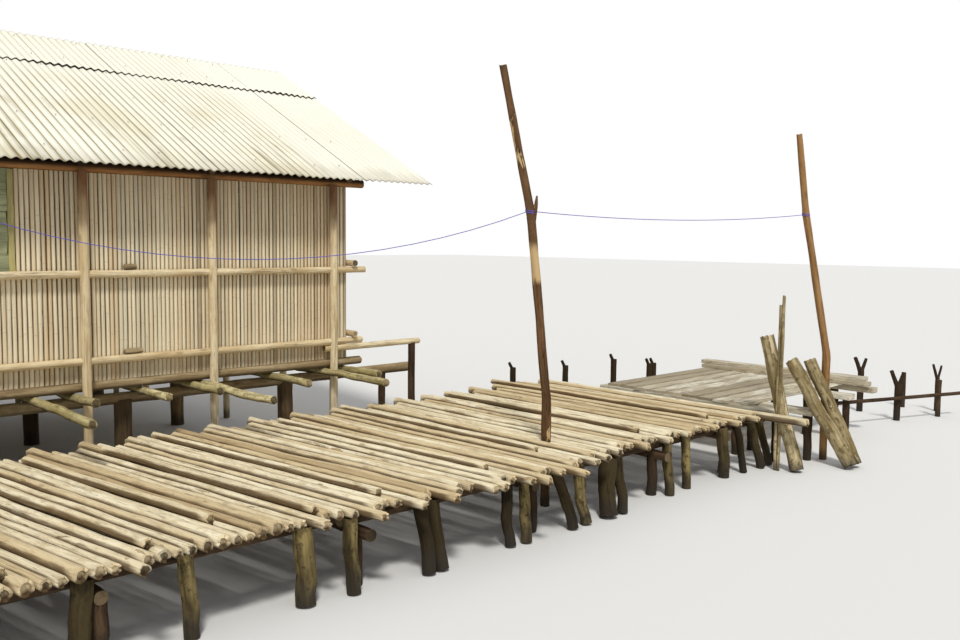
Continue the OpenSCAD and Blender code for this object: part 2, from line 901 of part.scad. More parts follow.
// Tall pole through the deck
module near_line_pole() {
  a = [near_pole_x, near_pole_y, 0];
  color(BARK)
    bent_pole(
      [a, a + [0, 0, 900], near_tie, a + [-285, 265, near_pole_h]],
      [tall_pole_d, tall_pole_d, tall_pole_d - near_thin, tall_pole_d - 16]
    );
}

// Tall pole beside the landing
module far_line_pole() {
  a = [far_pole_x, far_pole_y, 0];
  color(BARK)
    bent_pole(
      [a, a + [0, 0, rake_h + 60], far_tie, a + [-262, 252, far_pole_h]],
      [tall_pole_d, tall_pole_d, tall_pole_d - far_thin, tall_pole_d - 18]
    );
}

// Flat beams across the landing and two stacked planks along its far edge
module landing_beams() {
  back = landing_back_y - 90;
  plank = [150, beam_fronts[3] - back - 60, 45];
  color(BOARD) {
    for (i = [0:len(beam_xs) - 1])
      translate([beam_xs[i] - beam_w / 2, -beam_fronts[i], beam_foot])
        cube([beam_w, beam_fronts[i] - back, beam_t]);
    for (i = [0:1])
      translate([landing_x0 + landing_len - 260 + 70 * i, -beam_fronts[3] + 20 + 60 * i,
                 landing_top + seat + i * (plank[2] + seat)])
        cube(plank);
  }
}

module landing_boards() {
  color(BOARD)
    for (i = [0:board_count - 1])
      translate([landing_x0 + 60 * vary(i), -landing_front_y + i * board_pitch, landing_top - board_t])
        cube([landing_len - 60 * vary(i) - 70 * vary(i, 3), board_w, board_t]);
}

module landing_posts() {
  color(BARK) {
    for (x = beam_xs, y = landing_post_ys)
      upright(x, y, 0, beam_foot - seat, deck_post_d);
    for (i = [0:2])
      upright(beam_xs[i] + 10 * i, -beam_fronts[i] + 75, 0, beam_foot - seat, deck_post_d - 8 * i);
    stub(beam_xs[0] + (beam_w + stub_d) / 2 + seat, -landing_back_y + stub_d / 2 + seat, 870);
    for (x = [landing_x0 + 900, landing_x0 + 985])
      stub(x, -landing_back_y + stub_d / 2 + seat, 760);
  }
}

// Log leaning along Y with the rim of its foot at the water line
module leaner(x, foot_y, lean, h, d) {
  rise = d / 2 * sin(lean);
  translate([x, foot_y + rise * tan(lean), rise])
    rotate([-lean, 0, 0])
      cylinder(h = (h - rise) / cos(lean), d = d);
}

// Mooring log, two raked logs and the slim poles beside the mooring log
module leaning_logs() {
  color(BARK) {
    leaner(mooring_x, -mooring_foot_y, mooring_lean, mooring_h, leaner_d);
    leaner(rake_x, rake_foot_y, rake_lean, rake_h, leaner_d);
    leaner(second_rake_x, rake_foot_y + 10, rake_lean - 6, rake_h + 10, second_rake_d);
    for (i = [0:1])
      upright(bundle_x, -mooring_foot_y + 156 + i * (bundle_d + seat), 0, bundle_h - 90 * i, bundle_d);
  }
}

// Stake with a two-pronged head
module fork(x, y, h, d, spread) {
  union() {
    upright(x, y, 0, h - 180, d);
    rod([x, y, h - 220], [x - spread, y + spread * 0.4, h], d * 0.75, d * 0.6);
    rod([x, y, h - 220], [x + spread * 0.7, y - spread * 0.3, h - 20], d * 0.65, d * 0.5);
  }
}

// Stakes beyond the landing and the rail lashed beside two of them
module far_stakes() {
  hold = far_rail_n + far_rail_d / 2 + seat;
  color(BARK) {
    translate([beam_xs[3], landing_post_ys[0], 0])
      rotate([0, 0, far_rail_turn]) {
        pole_x(-130, 2080, far_rail_n, far_rail_level, far_rail_d);
        fork(1036, hold + stake_d / 2, stake_h, stake_d, 85);
        upright(1747, hold + stake_d * 0.4, 0, stake_h - 150, stake_d * 0.8);
      }
    fork(10228, -4914, stake_h + 90, stake_d, 100);
    fork(11008, -5584, stake_h, stake_d * 0.7, 80);
    upright(10977, -5164, 0, stake_h - 150, stake_d * 0.75);
  }
}

// Hanging line from one point to another
module hanging(a, b, sag) {
  v = b - a;
  len = norm(v);
  radius = (len * len / 4 + sag * sag) / (2 * sag);
  half = asin(len / 2 / radius);
  translate((a + b) / 2)
    rotate([0, -asin(v[2] / len), atan2(v[1], v[0])])
      translate([0, 0, radius - sag])
        rotate([90, 0, 0])
          rotate([0, 0, 270 - half])
            rotate_extrude(angle = 2 * half, $fn = 360)
              translate([radius, 0])
                circle(d = line_d, $fn = 16);
}

// Washing line from the house to the near pole, and on to the far pole
module line() {
  side = (tall_pole_d + line_d) / 2 + seat;
  way = (far_tie - near_tie) / norm(far_tie - near_tie);
  color(BLUE) {
    hanging([line_d, -post_y - (post_d + line_d) / 2 - seat, tie_level + 50],
            near_tie + [0, side, 0], line_sag);
    hanging(near_tie + way * ((tall_pole_d - near_thin + knuckle) / 2 + seat),
            far_tie - way * ((tall_pole_d - far_thin + knuckle) / 2 + seat), far_sag);
  }
}

house_stilts();
bearers();
joists();
floor();
long_sills();
end_sills();
front_posts();
back_posts();
end_posts();
long_plates();
tie_beams();
king_posts();
ridge_pole();
front_rafters();
back_rafters();
front_purlins();
back_purlins();
front_lower_sheets();
front_upper_sheets();
back_lower_sheets();
back_upper_sheets();
front_wall_right();
window_wall();
front_wall_left();
back_wall();
end_walls();
gables();
wall_rails();
end_rails();
window_frame();
window_boards();
door_jambs();
deck_cross_logs();
deck_stringers();
deck_posts();
deck_front_posts();
deck_poles();
near_line_pole();
far_line_pole();
landing_beams();
landing_boards();
landing_posts();
leaning_logs();
far_stakes();
line();
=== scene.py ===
import logging
import math
from dataclasses import asdict, dataclass, replace
from enum import Enum
from functools import cache
from typing import Sequence, Union

import bpy
import numpy as np
from mathutils import Matrix, Vector


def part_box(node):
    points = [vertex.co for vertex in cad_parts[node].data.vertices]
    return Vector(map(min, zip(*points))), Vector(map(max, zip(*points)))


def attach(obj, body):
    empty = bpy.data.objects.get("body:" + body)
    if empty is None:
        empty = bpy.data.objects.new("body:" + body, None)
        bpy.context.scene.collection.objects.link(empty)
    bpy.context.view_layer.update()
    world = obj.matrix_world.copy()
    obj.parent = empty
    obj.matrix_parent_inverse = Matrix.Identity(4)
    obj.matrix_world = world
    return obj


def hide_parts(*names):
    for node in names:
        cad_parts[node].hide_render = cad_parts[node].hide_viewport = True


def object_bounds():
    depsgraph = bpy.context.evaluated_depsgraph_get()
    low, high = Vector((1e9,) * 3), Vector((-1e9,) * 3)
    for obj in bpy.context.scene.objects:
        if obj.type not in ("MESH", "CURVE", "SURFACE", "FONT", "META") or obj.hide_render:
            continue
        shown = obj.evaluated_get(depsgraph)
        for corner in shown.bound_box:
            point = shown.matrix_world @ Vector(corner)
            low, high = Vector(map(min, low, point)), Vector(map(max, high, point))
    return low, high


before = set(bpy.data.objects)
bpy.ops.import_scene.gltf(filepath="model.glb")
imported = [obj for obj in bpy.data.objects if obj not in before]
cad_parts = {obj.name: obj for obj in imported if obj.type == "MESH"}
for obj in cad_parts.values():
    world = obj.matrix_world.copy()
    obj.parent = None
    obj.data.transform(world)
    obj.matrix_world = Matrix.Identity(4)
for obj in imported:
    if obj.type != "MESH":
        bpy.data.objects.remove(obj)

CAD_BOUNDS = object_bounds()
log = logging.getLogger("stilt_house")
Colour = tuple[float, float, float]
Span = tuple[float, float]
Solid = tuple[np.ndarray, np.ndarray]

BODY = "root"
# metres between the floor and the lowest points
FLOOR_GAP = 0.0005
# metres along a rod between the corner points of one ring and the next
RING_GAP = 0.03
ANYWHERE: Span = (-math.inf, math.inf)
# colours laid on the timber and the canes: mud at their feet, red-brown at the post tops, and painted shade under the
# eave (dark on the plate, amber on the canes)
MUD: Colour = (0.035, 0.030, 0.024)
EAVE_SHADE_DARK: Colour = (0.035, 0.022, 0.014)
TOP_RED_BROWN: Colour = (0.19, 0.080, 0.034)
EAVE_SHADE_AMBER: Colour = (0.34, 0.19, 0.085)


def dim(colour: Colour, factor: float) -> Colour:
    """A colour times a number."""
    return tuple(part * factor for part in colour)


def linked(name: str, data: bpy.types.ID) -> bpy.types.Object:
    """Puts a new object in the scene, at the origin.

    Args:
        name: its name.
        data: its mesh, curve, lens or lamp.

    Returns:
        The object.
    """
    made = bpy.data.objects.new(name, data)
    bpy.context.scene.collection.objects.link(made)
    return made


def fetch(items: Sequence, key: str, width: int, kind: type = float) -> np.ndarray:
    """Reads one value of every vertex or face.

    Args:
        items: the mesh's elements.
        key: the value's name.
        width: how many numbers it has.
        kind: their type.

    Returns:
        One row for each element.
    """
    values = np.empty(len(items) * width, kind)
    items.foreach_get(key, values)
    return values.reshape(-1, width)


# ---------------- shader maths


class Wire:
    """A node socket that can be used in arithmetic."""

    def __init__(self, tree: "Graph", socket: bpy.types.NodeSocket) -> None:
        """Wraps one output socket of a node graph."""
        self.tree, self.socket = tree, socket

    def __add__(self, other: "Term") -> "Wire":
        """Sum."""
        return self.tree.maths("ADD", self, other)

    def __sub__(self, other: "Term") -> "Wire":
        """Difference."""
        return self.tree.maths("SUBTRACT", self, other)

    def __rsub__(self, other: "Term") -> "Wire":
        """Difference with the wire on the right."""
        return self.tree.maths("SUBTRACT", other, self)

    def __mul__(self, other: "Term") -> "Wire":
        """Product."""
        return self.tree.maths("MULTIPLY", self, other)

    def __truediv__(self, other: "Term") -> "Wire":
        """Quotient."""
        return self.tree.maths("DIVIDE", self, other)

    def __rtruediv__(self, other: "Term") -> "Wire":
        """Quotient with the wire on the right."""
        return self.tree.maths("DIVIDE", other, self)

    def __lt__(self, other: "Term") -> "Wire":
        """1 where the wire is below the other term."""
        return self.tree.maths("LESS_THAN", self, other)

    def __gt__(self, other: "Term") -> "Wire":
        """1 where the wire is above the other term."""
        return self.tree.maths("GREATER_THAN", self, other)

    def __neg__(self) -> "Wire":
        """The wire below zero."""
        return self * -1.0

    def __abs__(self) -> "Wire":
        """Size without sign."""
        return self.tree.maths("ABSOLUTE", self)

    __radd__, __rmul__ = __add__, __mul__


Term = Union[Wire, float, int]


class Graph:
    """Nodes of one tree, made by short calls."""

    def __init__(self, tree: bpy.types.NodeTree) -> None:
        """Keeps the tree."""
        self.tree = tree

    def node(self, kind: str, values: dict | None = None, out: int | str = 0, **settings: object) -> Wire:
        """Adds a node.

        Args:
            kind: the node's type.
            values: what goes into its sockets, by name or place.
            out: the output to return, by name or place.
            settings: its properties, set before its sockets.

        Returns:
            The chosen output.
        """
        made = self.tree.nodes.new(kind)
        for key, value in settings.items():
            setattr(made, key, value)
        for key, value in (values or {}).items():
            self.feed(made.inputs[key], value)
        return Wire(self, made.outputs[out])

    def feed(self, socket: bpy.types.NodeSocket, value: object) -> None:
        """Links a wire to a socket, or sets the socket's own value.

        Args:
            socket: the input.
            value: a wire, a number, a word, a vector, a colour or a material.
        """
        if isinstance(value, Wire):
            self.tree.links.new(value.socket, socket)
        else:
            opaque = socket.type == "RGBA" and len(value) == 3
            socket.default_value = (*value, 1.0) if opaque else value

    def maths(self, operation: str, *terms: Term) -> Wire:
        """One Math node on numbers."""
        return self.node("ShaderNodeMath", dict(enumerate(terms)), operation=operation)

    def most(self, one: Term, other: Term) -> Wire:
        """The greater of two numbers."""
        return self.maths("MAXIMUM", one, other)

    def least(self, one: Term, other: Term) -> Wire:
        """The smaller of two numbers."""
        return self.maths("MINIMUM", one, other)

    def smooth(self, value: Wire, low: float, high: float) -> Wire:
        """A soft step from 0 at low to 1 at high."""
        return self.node("ShaderNodeMapRange", {0: value, 1: low, 2: high}, interpolation_type="SMOOTHSTEP")

    def draw(self, number: Wire, factor: float) -> Wire:
        """Another number from 0 to 1, drawn from a first one."""
        return self.maths("FRACT", number * factor)

    def vector(self, operation: str, *terms: object, out: int = 0) -> Wire:
        """One Vector Math node."""
        return self.node("ShaderNodeVectorMath", dict(enumerate(terms)), out, operation=operation)

    def scaled(self, vector: Wire, factor: Term) -> Wire:
        """A vector times a number."""
        return self.node("ShaderNodeVectorMath", {0: vector, "Scale": factor}, operation="SCALE")

    def split(self, vector: Wire) -> list[Wire]:
        """The three parts of a vector."""
        outputs = self.node("ShaderNodeSeparateXYZ", {0: vector}).socket.node.outputs
        return [Wire(self, output) for output in outputs]

    def join(self, x: Term, y: Term, z: Term) -> Wire:
        """A vector from three parts."""
        return self.node("ShaderNodeCombineXYZ", {0: x, 1: y, 2: z})

    def noise(self, vector: Wire, detail: float = 3.0, rough: float = 0.55, scale: float = 1.0, twist: float = 0.0,
              out: int | str = 0) -> Wire:
        """Noise from 0 to 1."""
        values = {"Vector": vector, "Scale": scale, "Detail": detail, "Roughness": rough, "Distortion": twist}
        return self.node("ShaderNodeTexNoise", values, out)

    def fibres(self, grain: Wire, across: float, along: float, detail: float = 3.0, rough: float = 0.55,
               twist: float = 0.0) -> Wire:
        """Noise of one fineness across the grain and another along it."""
        fine = self.vector("MULTIPLY", grain, (across, across, along))
        return self.noise(fine, detail, rough, twist=twist)


class Paint(Graph):
    """A material's graph: colours laid over each other, with a Principled shader at its end."""

    def __init__(self, name: str, ground: Colour) -> None:
        """Makes an empty material.

        Args:
            name: its name.
            ground: its first colour.
        """
        self.material = bpy.data.materials.new(name)
        self.material.use_nodes = True
        super().__init__(self.material.node_tree)
        self.tree.nodes.clear()
        self.shader = self.tree.nodes.new("ShaderNodeBsdfPrincipled")
        ending = self.tree.nodes.new("ShaderNodeOutputMaterial")
        self.tree.links.new(self.shader.outputs[0], ending.inputs[0])
        self.colour: Colour | Wire = ground

    def place(self) -> Wire:
        """The point on the object, in metres."""
        return self.node("ShaderNodeTexCoord", out="Object")

    def attribute(self, name: str, out: str = "Fac") -> Wire:
        """A named attribute of the mesh."""
        return self.node("ShaderNodeAttribute", out=out, attribute_name=name)

    def mix(self, share: Term, low: Wire | Colour, high: Wire | Colour) -> Wire:
        """A blend of two colours."""
        return self.node("ShaderNodeMix", {0: share, 6: low, 7: high}, 2, data_type="RGBA")

    def coat(self, share: Term, colour: Wire | Colour) -> None:
        """Lays a share of another colour over the paint."""
        self.colour = self.mix(share, self.colour, colour)

    def finish(self, rough: Term, height: Wire | None = None, depth: float = 0.002,
               shine: float = 0.5) -> bpy.types.Material:
        """Feeds the shader and returns the material.

        Args:
            rough: roughness.
            height: relief from 0 to 1.
            depth: depth of the relief in metres.
            shine: how strongly it reflects.

        Returns:
            The finished material.
        """
        values = {"Base Color": self.colour, "Roughness": rough, "Specular IOR Level": shine}
        if height is not None:
            values["Normal"] = self.node("ShaderNodeBump", {"Strength": 1.0, "Distance": depth, "Height": height})
        for key, value in values.items():
            self.feed(self.shader.inputs[key], value)
        return self.material


# ---------------- geometry trees


class Shape(Graph):
    """A geometry node tree with named inputs for its sizes."""

    def __init__(self, name: str) -> None:
        """Makes an empty tree that takes and gives geometry.

        Args:
            name: the tree's name.
        """
        super().__init__(bpy.data.node_groups.new(name, "GeometryNodeTree"))
        self.keys: dict[str, str] = {}
        for side in ("OUTPUT", "INPUT"):
            self.tree.interface.new_socket("Geometry", in_out=side, socket_type="NodeSocketGeometry")
        self.entry = self.tree.nodes.new("NodeGroupInput")
        self.exit = self.tree.nodes.new("NodeGroupOutput")

    def size(self, name: str, kind: str = "Float") -> Wire:
        """Adds a named input.

        Args:
            name: what the input sets.
            kind: Float, Int or Material.

        Returns:
            The input's wire.
        """
        item = self.tree.interface.new_socket(name, in_out="INPUT", socket_type=f"NodeSocket{kind}")
        self.keys[name] = item.identifier
        return Wire(self, self.entry.outputs[name])

    def sizes(self, *names: str) -> list[Wire]:
        """Adds an input of type Float for each name."""
        return [self.size(name) for name in names]

    def start(self) -> Wire:
        """The geometry that comes in."""
        return Wire(self, self.entry.outputs["Geometry"])

    def keep(self, geometry: Wire, value: Wire, kind: str = "FLOAT", domain: str = "POINT") -> tuple[Wire, Wire]:
        """Captures a field on a geometry.

        Args:
            geometry: the geometry.
            value: the field.
            kind: the field's type.
            domain: the elements that keep it.

        Returns:
            The geometry and the kept field.
        """
        made = self.tree.nodes.new("GeometryNodeCaptureAttribute")
        made.domain = domain
        made.capture_items.new(kind, "kept")
        self.feed(made.inputs[0], geometry)
        self.feed(made.inputs[1], value)
        return Wire(self, made.outputs[0]), Wire(self, made.outputs[1])

    def store(self, geometry: Wire, name: str, value: Term, domain: str = "POINT", kind: str = "FLOAT") -> Wire:
        """Stores a field under a name."""
        values = {"Geometry": geometry, "Name": name, "Value": value}
        return self.node("GeometryNodeStoreNamedAttribute", values, data_type=kind, domain=domain)

    def move(self, geometry: Wire, offset: Wire) -> Wire:
        """Moves each point of a geometry."""
        return self.node("GeometryNodeSetPosition", {"Geometry": geometry, "Offset": offset})

    def luck(self, low: float, high: float, number: Wire, seed: Term) -> Wire:
        """A random number for each element."""
        values = {2: low, 3: high, "ID": number, "Seed": seed}
        return self.node("FunctionNodeRandomValue", values, 1, data_type="FLOAT")

    def extrude(self, mesh: Wire, faces: Wire, distance: Term) -> list[Wire]:
        """Extrudes faces one by one.

        Args:
            mesh: the mesh.
            faces: the field that chooses the faces.
            distance: how far they go.

        Returns:
            The mesh, and the fields of the top faces and the side faces.
        """
        values = {"Mesh": mesh, "Selection": faces, "Offset Scale": distance, "Individual": True}
        outputs = self.node("GeometryNodeExtrudeMesh", values).socket.node.outputs
        return [Wire(self, outputs[name]) for name in ("Mesh", "Top", "Side")]

    def end(self, geometry: Wire) -> "Shape":
        """Closes the tree with Realize Instances and Set Material.

        Args:
            geometry: what the tree makes.

        Returns:
            The tree.
        """
        values = {"Geometry": self.node("GeometryNodeRealizeInstances", {0: geometry}),
                  "Material": self.size("Finish", "Material")}
        self.feed(self.exit.inputs[0], self.node("GeometryNodeSetMaterial", values))
        return self


def timber_tree() -> Shape:
    """Round timber along each spline: bowed, barked, with worn ends.

    Returns:
        The tree. Its mesh carries grain (round, round, along), tone, edge, under and core; edge and under mark faces
        that the finishes darken as painted shade, and core marks the ends, whose hollows are darkened partly as
        painted shade.
    """
    t = Shape("timber")
    sides, seed = t.size("Sides", "Int"), t.size("Seed", "Int")
    spacing, bow, bark, swell, fray, hollow = t.sizes("Spacing", "Bow", "Bark", "Swell", "Fray", "Hollow")
    rim, thin, facing, free, crook = t.sizes("Rim", "Thin", "Facing", "Free", "Crook")
    index, normal = t.node("GeometryNodeInputIndex"), t.node("GeometryNodeInputNormal")
    number = t.node("GeometryNodeFieldOnDomain", {0: index}, domain="CURVE", data_type="INT")
    curve, tone = t.keep(t.start(), t.luck(0.0, 1.0, number, seed))
    curve = t.node("GeometryNodeResampleCurve", {"Curve": curve, "Length": spacing}, mode="LENGTH")
    share = t.node("GeometryNodeSplineParameter", out="Factor")
    run = t.node("GeometryNodeSplineParameter", out="Length")
    shift = t.join(tone * 31.0, tone * 17.0, run * crook)
    drift = t.vector("SUBTRACT", t.noise(shift, 1.0, 0.5, out="Color"), (0.5, 0.5, 0.5))
    held = share * (1.0 - share) * 4.0 * (1.0 - free) + free
    curve = t.move(curve, t.scaled(drift, bow * held))
    curve, along = t.keep(curve, run)
    curve, part = t.keep(curve, share)
    slim = 1.0 - t.draw(tone, 5.7) * thin
    curve, width = t.keep(curve, t.node("GeometryNodeInputRadius") * slim)
    curve, way = t.keep(curve, t.node("GeometryNodeInputTangent"), "VECTOR")
    profile = t.node("GeometryNodeCurvePrimitiveCircle", {"Resolution": sides, "Radius": 1.0})
    profile, ring = t.keep(profile, t.node("GeometryNodeInputPosition"), "VECTOR")
    swollen = width * (1.0 + (t.noise(shift, 1.0, 0.5, 4.0) - 0.5) * swell)
    mesh = t.node("GeometryNodeCurveToMesh",
                  {"Curve": curve, "Profile Curve": profile, "Scale": swollen, "Fill Caps": True})
    ring_x, ring_y, _ = t.split(ring)
    grain = t.join(ring_x * width + tone * 7.0, ring_y * width + tone * 3.0, along + tone * 19.0)
    mesh = t.store(mesh, "grain", grain, kind="FLOAT_VECTOR")
    x, y, z = t.split(normal)
    # How far each face looks sideways and how far it looks down: the finishes darken such faces as painted shade
    # between and under the timber.
    edge, under = abs(x) * (1.0 - facing) + abs(y) * facing, t.most(-z, 0.0)
    for name, value in (("tone", tone), ("edge", edge), ("under", under)):
        mesh = t.store(mesh, name, value)
    ends = (part < 0.0005) + (part > 0.9995)
    push = t.scaled(normal, (t.fibres(grain, 26.0, 3.0, 2.0, 0.5) - 0.5) * width * bark * (1.0 - ends))
    bite = t.least((t.noise(grain, 1.0, 0.5, 60.0) - 0.62) * 2.0, 0.0)
    tear = t.scaled(way, bite * fray * ends * (part * 2.0 - 1.0))
    mesh = t.move(mesh, t.vector("ADD", push, tear))
    cap = abs(t.vector("DOT_PRODUCT", normal, way, out=1)) > 0.75
    mesh, cap = t.keep(mesh, cap, "BOOLEAN", "FACE")
    mesh = t.node("GeometryNodeSetShadeSmooth", {"Geometry": mesh, "Selection": 1.0 - cap})
    mesh, top, _ = t.extrude(mesh, cap, 0.0)
    mesh, top = t.keep(mesh, top, "BOOLEAN", "FACE")
    inner = rim * (0.75 + t.draw(tone, 13.3) * 0.45)
    mesh = t.node("GeometryNodeScaleElements", {"Geometry": mesh, "Selection": top, "Scale": inner}, domain="FACE")
    mesh, pit, wall = t.extrude(mesh, top, -(hollow * (0.3 + t.draw(tone, 9.1) * 1.4)))
    # core: 1 in the hollow, 0.5 on the end faces; the finish darkens the hollow with the inner wood's brown and
    # painted shade
    return t.end(t.store(mesh, "core", t.most(t.most(pit, wall), cap * 0.5), "FACE"))


def bark_tree() -> Shape:
    """Roughens a closed mesh of forked timber.

    Returns:
        The tree. Its mesh carries grain, tone and core.
    """
    t = Shape("bark")
    depth, tone = t.sizes("Depth", "Tone")
    spot = t.node("GeometryNodeInputPosition")
    mesh = t.store(t.start(), "grain", spot, kind="FLOAT_VECTOR")
    mesh = t.store(t.store(mesh, "tone", tone), "core", 0.0, "FACE")
    ridges = t.fibres(spot, 26.0, 5.0, 2.0, 0.5)
    mesh = t.move(mesh, t.scaled(t.node("GeometryNodeInputNormal"), (ridges - 0.62) * depth))
    return t.end(t.node("GeometryNodeSetShadeSmooth", {"Geometry": mesh}))


def sheet_tree() -> Shape:
    """One row of lapped corrugated sheets, flat on X and Y, with the waves across X.

    Returns:
        The tree. Its mesh carries sheet, a number from 0 to 1 for each sheet, and seam and down, its own X and Y.
    """
    t = Shape("corrugated_row")
    width, length, pitch, depth = t.sizes("Width", "Length", "Pitch", "Depth")
    cover, lift, slip, curl = t.sizes("Cover", "Lift", "Slip", "Curl")
    count, seed = t.size("Count", "Int"), t.size("Seed", "Int")
    across = t.maths("ROUND", width / pitch * 8.0) + 1.0
    grid = t.node("GeometryNodeMeshGrid", {"Size X": width, "Size Y": length, "Vertices X": across, "Vertices Y": 20})
    x, y, _ = t.split(t.node("GeometryNodeInputPosition"))
    grid = t.store(grid, "seam", abs(x) / width * 2.0)
    grid = t.store(grid, "down", 0.5 - y / length)
    start = t.node("GeometryNodeMeshLine", {"Count": count, "Offset": t.join(cover, 0.0, 0.0)})
    index = t.node("GeometryNodeInputIndex")
    slide, luck = t.luck(-0.5, 0.5, index, seed), t.luck(0.0, 1.0, index, seed + 5.0)
    start = t.move(start, t.join(0.0, slide * slip, t.maths("MODULO", index, 2.0) * lift))
    start, number = t.keep(start, luck)
    placed = t.node("GeometryNodeInstanceOnPoints", {"Points": start, "Instance": grid})
    mesh = t.node("GeometryNodeRealizeInstances", {0: t.store(placed, "sheet", number, "INSTANCE")})
    wave = t.maths("COSINE", x / pitch * (2.0 * math.pi)) * depth * 0.5
    warp = t.noise(t.join(x, y * 1.3, 0.0), 2.0, 0.5, 1.6)
    gape = t.noise(t.join(x * 0.8, 0.0, 3.0), 1.0, 0.5)
    down = t.node("GeometryNodeInputNamedAttribute", {"Name": "down"}, data_type="FLOAT")
    lip = t.most(down * length - (length - 0.16), 0.0) / 0.16
    rise = lip * lip * curl * t.most(gape * 2.6 - 0.7, 0.0)
    mesh = t.move(mesh, t.join(0.0, 0.0, wave + (warp - 0.5) * 0.006 + rise))
    return t.end(t.node("GeometryNodeSetShadeSmooth", {"Geometry": mesh}))


def nail_tree() -> Shape:
    """A domed nail with its washer at every point of a mesh.

    Returns:
        The tree.
    """
    t = Shape("nails")
    radius, height = t.sizes("Radius", "Height")
    cone = t.node("GeometryNodeMeshCone",
                  {"Vertices": 8, "Radius Top": radius * 0.35, "Radius Bottom": radius, "Depth": height})
    return t.end(t.node("GeometryNodeInstanceOnPoints", {"Points": t.start(), "Instance": cone}))


def grow(shape: Shape, source: bpy.types.Object, name: str, sizes: dict[str, object],
         thickness: float = 0.0) -> bpy.types.Object:
    """Runs a tree on an object and makes the result a plain mesh.

    Args:
        shape: the tree.
        source: a curve or mesh object, removed afterwards.
        name: the new piece's name.
        sizes: values of the tree's inputs by name.
        thickness: wall given to an open sheet, in metres.

    Returns:
        The piece, at the origin.
    """
    live = source.modifiers.new("shape", "NODES")
    live.node_group = shape.tree
    for key, value in sizes.items():
        live[shape.keys[key]] = value
    if thickness:
        wall = source.modifiers.new("wall", "SOLIDIFY")
        wall.thickness, wall.offset = thickness, 0.0
    view = bpy.context.evaluated_depsgraph_get()
    view.update()
    mesh = bpy.data.meshes.new_from_object(source.evaluated_get(view), preserve_all_data_layers=True, depsgraph=view)
    mesh.name = name
    bpy.data.objects.remove(source)
    return linked(name, mesh)


def show(piece: bpy.types.Object, slot: str, *nodes: str) -> None:
    """Puts a piece on the body, in place of its solids and inside their whole box.

    Args:
        piece: the piece.
        slot: its material slot in the record; not used.
        nodes: solids that it stands for.
    """
    low, high = (np.array(tuple(corner)) for corner in CAD_BOUNDS)
    held = np.clip(fetch(piece.data.vertices, "co", 3), low + (0.0, 0.0, FLOOR_GAP), high)
    piece.data.vertices.foreach_set("co", held.astype(np.float32).ravel())
    piece.data.update()
    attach(piece, BODY)
    if nodes:
        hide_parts(*nodes)
    log.info("%s: %d faces", piece.name, len(piece.data.polygons))


# ---------------- solids of the frame


def meshes(node: str) -> list[Solid]:
    """The separate solids of a node, as points and triangles.

    Args:
        node: the node's name.

    Returns:
        One pair of arrays for each solid, from left to right.
    """
    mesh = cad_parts[node].data
    points = fetch(mesh.vertices, "co", 3)
    mesh.calc_loop_triangles()
    corners = fetch(mesh.loop_triangles, "vertices", 3, int)
    _, merged = np.unique(np.round(points, 5), axis=0, return_inverse=True)
    merged = merged.reshape(-1)
    faces = merged[corners]
    label, before = np.arange(merged.max() + 1), None
    while before is None or (label != before).any():
        before, low = label.copy(), label[faces].min(1)
        for corner in faces.T:
            np.minimum.at(label, corner, low)
        label = label[label]
    whole = np.zeros((len(label), 3))
    whole[merged] = points
    owner = label[faces[:, 0]]
    found = []
    for key in np.unique(owner):
        used, own = np.unique(faces[owner == key], return_inverse=True)
        found.append((whole[used], own.reshape(-1, 3)))
    return sorted(found, key=lambda m: (round(m[0][:, 0].mean(), 3), round(m[0][:, 1].mean(), 3)))


def solids(node: str) -> list[np.ndarray]:
    """The corner points of each solid of a node, from left to right."""
    return [points for points, _ in meshes(node)]


@dataclass
class Spine:
    """The middle line of one piece of round timber."""

    points: np.ndarray
    radii: np.ndarray

    @staticmethod
    def of(cloud: np.ndarray) -> "Spine":
        """Finds the spine of a solid from the rings of its mesh.

        Args:
            cloud: corner points of the solid.

        Returns:
            The spine, from its low end to its high end.
        """
        cloud = np.unique(np.round(cloud, 5), axis=0)
        middle = cloud.mean(0)
        axis = np.linalg.svd(cloud - middle, full_matrices=False)[2][0]
        axis = axis if axis[np.abs(axis).argmax()] > 0 else -axis
        reach = (cloud - middle) @ axis
        order = np.argsort(reach)
        cuts = np.flatnonzero(np.diff(reach[order]) > RING_GAP) + 1
        rings = [cloud[r] for r in np.split(order, cuts) if len(r) >= 3]
        side = np.cross(axis, (0.0, 0.0, 1.0) if abs(axis[2]) < 0.9 else (1.0, 0.0, 0.0))
        side /= np.linalg.norm(side)
        across = np.array([side, np.cross(axis, side)])
        flat = [(ring - middle) @ across.T for ring in rings]
        low, high = np.array([f.min(0) for f in flat]), np.array([f.max(0) for f in flat])
        along = np.array([((ring - middle) @ axis).mean() for ring in rings])
        along[0], along[-1] = reach.min(), reach.max()
        if len(rings) < 2:
            low, high = np.repeat(low, 2, 0), np.repeat(high, 2, 0)
            along = np.array([reach.min(), reach.max()])
        centres = middle + (low + high) / 2 @ across + along[:, None] * axis
        return Spine(centres, (high - low).max(1) / 2)


@dataclass(frozen=True)
class Timber:
    """How a kind of round timber is shaped; each field is an input of the timber tree."""

    sides: int = 12
    spacing: float = 0.16
    bow: float = 0.012
    bark: float = 0.10
    swell: float = 0.12
    fray: float = 0.006
    hollow: float = 0.0
    rim: float = 0.82
    thin: float = 0.0
    facing: float = 0.0
    free: float = 0.0
    crook: float = 0.9
    seed: int = 3


